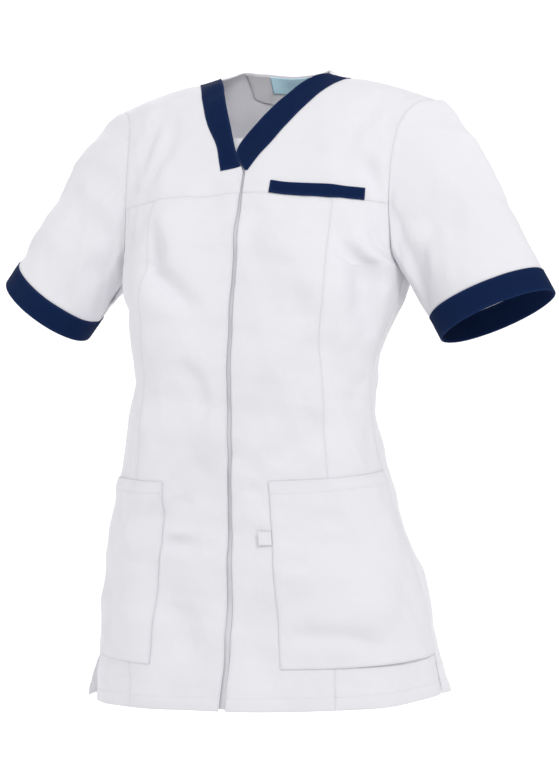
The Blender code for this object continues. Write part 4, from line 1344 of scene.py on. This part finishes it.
class TUNIC_OT_sleeves(Operator):
    """Makes the short sleeves and their navy cuffs"""

    bl_idname = "tunic.sleeves"
    bl_label = "Sleeves and cuffs"

    def execute(self, context):
        for row in SLEEVES:
            hand, word = row[0], WORDS[row[0]]
            points, out, body_rows, down = sleeve_points(row)
            around = run_lengths(points)
            relief = sleeve_relief(hand, around, down) * context.scene.tunic.creasing
            from_armhole, seam = down, down[body_rows - 1][None, :]
            lap = 2 * math.pi / around[:, -1:]
            pucker = np.sin(around * lap * 21 + 1) + 0.6 * np.sin(around * lap * 34 + hand)
            top = bump((around / around[:, -1:] - 0.5) / 0.22)
            fade = smooth_step(from_armhole / 0.006) * smooth_step((seam + 0.012 - down) / 0.03)
            cap = 0.0003 * pucker * np.exp(-from_armhole / 0.016) * (0.35 + top)
            sleeve_edge = -SEAM_DEPTHS["armhole"] * np.exp(-((from_armhole / 0.0007) ** 1.4))
            hem = -0.0006 * bump((down - seam) / 0.0016)
            height = relief * fade + cap + sleeve_edge + hem
            places = np.stack((around, -down), axis=-1)
            base = points + out * height[..., None]
            part = slice(0, body_rows)
            # Edge colour mask: painted shade along the sleeve's seams and hem, lighter worn edges on the navy cuff
            edge_shade_and_wear = np.exp(-np.minimum(np.abs(down - seam), np.minimum(down, down[-1:] - down)) / EDGE_SHADE_AND_WEAR_REACH)
            inner = points + out * (relief * fade - WALL)[..., None]
            piece = cloth_object(f"sleeve_{word}", finish_of("white"), base[part], inner[part], places[part], edge_shade_and_wear[part], True)
            set_in_frame(piece, f"sleeve_{word}")
            declare_sheet(points[part])
            part = slice(body_rows, None)
            from_top, to_edge = down - seam, down[-1:] - down
            rounding = np.clip(1 - from_top / 0.0008, 0, 1) ** 2 + np.clip(1 - to_edge / 0.0010, 0, 1) ** 2
            band = CUFF_PROUD - 0.0007 * rounding + 0.00012 * np.sin(around * lap * 9 + hand)
            outer = points + out * (relief * fade + band)[..., None]
            inner = points + out * (relief * fade - WALL + 0.0007 * rounding)[..., None]
            piece = cloth_object(f"cuff_{word}", finish_of("navy"), outer[part], inner[part], places[part], edge_shade_and_wear[part], True)
            set_in_frame(piece, f"cuff_{word}")
            declare_sheet(points[part])
            index = int(np.abs(down[body_rows:, 0] - down[body_rows - 1, 0] - 0.0014).argmin()) + body_rows
            Sewing.keep("navy", outer[index], out[index])
        return {"FINISHED"}


def stitch_places(points, out, length):
    """Middles, ways along and ways out of the stitches on a line."""
    lengths = np.linalg.norm(np.diff(points, axis=0), axis=1)
    run = np.concatenate(((0.0,), np.cumsum(lengths)))
    count = max(1, int(run[-1] / length))
    middles = (np.arange(count) + 0.5) * run[-1] / count
    half = 0.4 * run[-1] / count

    def at(values, places):
        return np.stack([np.interp(places, run, values[:, k]) for k in range(3)], axis=1)

    along = unit(at(points, middles + half) - at(points, middles - half))
    return at(points, middles), along, unit(at(out, middles))


class TUNIC_OT_stitching(Operator):
    """Sews a row of stitches along every stitched edge"""

    bl_idname = "tunic.stitching"
    bl_label = "Stitching"

    def execute(self, context):
        tunic = context.scene.tunic
        for colour, rows in Sewing.rows.items():
            bm = bmesh.new()
            for points, out in rows:
                line = bmesh.new()
                for middle, along, up in zip(*stitch_places(points, out, tunic.stitch)):
                    across = np.cross(up, along)
                    turn = Matrix((along, across, up)).transposed().to_4x4()
                    size = Matrix.Diagonal((tunic.stitch * 0.43, tunic.thread_width / 2, tunic.thread_width / 2, 1))
                    place = Matrix.Translation(Vector(middle + up * tunic.thread_width * 0.2))
                    bmesh.ops.create_uvsphere(line, u_segments=6, v_segments=4, radius=1.0, matrix=place @ turn @ size)
                row = bpy.data.meshes.new("row_of_stitches")
                line.to_mesh(row)
                line.free()
                bm.from_mesh(row)
                bpy.data.meshes.remove(row)
            for face in bm.faces:
                face.smooth = True
            mesh = bpy.data.meshes.new(f"stitches_{colour}")
            bm.to_mesh(mesh)
            bm.free()
            mesh.materials.append(finish_of(f"{colour}_thread"))
            piece = bpy.data.objects.new(f"stitches_{colour}", mesh)
            context.scene.collection.objects.link(piece)
            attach(piece, "root")
        return {"FINISHED"}


def soft_light(name, place, aim, width, height, power):
    """A large area light that faces a point."""
    light = bpy.data.lights.new(name, "AREA")
    light.shape = "RECTANGLE"
    light.size, light.size_y, light.energy = width, height, power
    lamp = bpy.data.objects.new(name, light)
    lamp.location = place
    lamp.rotation_euler = (Vector(aim) - Vector(place)).to_track_quat("-Z", "Y").to_euler()
    bpy.context.scene.collection.objects.link(lamp)


class TUNIC_OT_stage(Operator):
    """Sets up the floor, the soft lights and the camera"""

    bl_idname = "tunic.stage"
    bl_label = "Studio"

    def execute(self, context):
        scene = context.scene
        studio = scene.tunic_studio
        bm = bmesh.new()
        disc = bmesh.ops.create_circle(bm, cap_ends=True, segments=96, radius=FLOOR_RADIUS)
        bmesh.ops.translate(bm, verts=disc["verts"], vec=(0.0, 0.0, FLOOR_Z))
        rim = [edge for edge in bm.edges if edge.is_boundary]
        for step in steps(0, 1, SWEEP_STEPS)[1:]:
            turn = math.radians(90) * step
            grown = bmesh.ops.extrude_edge_only(bm, edges=rim)
            ring = [item for item in grown["geom"] if isinstance(item, bmesh.types.BMVert)]
            radius = FLOOR_RADIUS + SWEEP_RADIUS * math.sin(turn)
            for vertex in ring:
                way = Vector((vertex.co.x, vertex.co.y, 0.0)).normalized()
                vertex.co = way * radius
                vertex.co.z = FLOOR_Z + SWEEP_RADIUS * (1 - math.cos(turn))
            rim = [item for item in grown["geom"] if isinstance(item, bmesh.types.BMEdge)]
        bmesh.ops.recalc_face_normals(bm, faces=bm.faces[:])
        for face in bm.faces:
            face.smooth = True
        if bm.faces[0].normal.z < 0:
            bmesh.ops.reverse_faces(bm, faces=bm.faces[:])
        mesh = bpy.data.meshes.new("floor")
        bm.to_mesh(mesh)
        bm.free()
        material, tree, shader = shader_material("pale_floor")
        shader.inputs["Base Color"].default_value = (*studio.floor, 1.0)
        shader.inputs["Roughness"].default_value = 0.9
        mesh.materials.append(material)
        floor = bpy.data.objects.new("floor", mesh)
        scene.collection.objects.link(floor)
        world = bpy.data.worlds.new("pale_room")
        world.use_nodes = True
        background = world.node_tree.nodes["Background"]
        background.inputs["Color"].default_value = (1.0, 1.0, 1.0, 1.0)
        background.inputs["Strength"].default_value = studio.around
        scene.world = world
        soft_light("key_light", (2.1, -1.8, 1.7), (0.0, 0.0, -0.35), 1.0, 1.0, studio.key)
        soft_light("side_light", (-2.4, -1.2, 0.4), (0.0, 0.0, -0.35), 1.4, 2.2, studio.side)
        soft_light("back_light", (-1.6, 2.0, 1.6), (0.0, 0.0, -0.30), 0.9, 0.9, studio.behind)
        soft_light("backdrop_light", (-1.2, 2.8, 2.2), (-2.4, 6.5, -0.4), 4.0, 2.0, studio.backdrop)
        scene.view_settings.view_transform = "Standard"
        camera = bpy.data.cameras.new("camera")
        camera.sensor_fit = "VERTICAL"
        camera.sensor_height = 24.0
        camera.lens = 24.0 * FOCAL_IN_HEIGHTS
        camera.shift_x = (PHOTO_WIDTH / 2 - PHOTO_CENTRE[0]) / PHOTO_HEIGHT
        camera.shift_y = (PHOTO_CENTRE[1] - PHOTO_HEIGHT / 2) / PHOTO_HEIGHT
        turn = math.radians(CAMERA_AZIMUTH)
        viewer = bpy.data.objects.new("camera", camera)
        viewer.location = (
            CAMERA_DISTANCE * math.sin(turn), -CAMERA_DISTANCE * math.cos(turn), CAMERA_HEIGHT
        )
        viewer.rotation_euler = (math.radians(90), 0.0, turn)
        scene.collection.objects.link(viewer)
        scene.camera = viewer
        return {"FINISHED"}


class TUNIC_PT_panel(Panel):
    """Lists the tunic's pieces and settings"""

    bl_idname = "TUNIC_PT_panel"
    bl_label = "Nurse tunic"
    bl_space_type = "VIEW_3D"
    bl_region_type = "UI"
    bl_category = "Tunic"

    def draw(self, context):
        for settings in (context.scene.tunic, context.scene.tunic_studio):
            box = self.layout.box()
            for name in settings.bl_rna.properties.keys():
                if name not in ("rna_type", "name"):
                    box.prop(settings, name)
        for step in STEPS_IN_ORDER:
            self.layout.operator(step.bl_idname)


STEPS_IN_ORDER = (
    TUNIC_OT_back,
    TUNIC_OT_neck_inside,
    TUNIC_OT_fronts,
    TUNIC_OT_yokes,
    TUNIC_OT_neck_band,
    TUNIC_OT_chest_welt,
    TUNIC_OT_hip_pockets,
    TUNIC_OT_opening_strip,
    TUNIC_OT_sleeves,
    TUNIC_OT_stitching,
    TUNIC_OT_stage,
)
CLASSES = (TunicSettings, StudioSettings, *STEPS_IN_ORDER, TUNIC_PT_panel)


def register():
    for item in CLASSES:
        bpy.utils.register_class(item)
    bpy.types.Scene.tunic = PointerProperty(type=TunicSettings)
    bpy.types.Scene.tunic_studio = PointerProperty(type=StudioSettings)


def unregister():
    del bpy.types.Scene.tunic_studio
    del bpy.types.Scene.tunic
    for item in reversed(CLASSES):
        bpy.utils.unregister_class(item)


def main():
    """Makes every piece in order."""
    register()
    for step in STEPS_IN_ORDER:
        group, name = step.bl_idname.split(".")
        getattr(getattr(bpy.ops, group), name)()


if __name__ == "__main__":
    main()
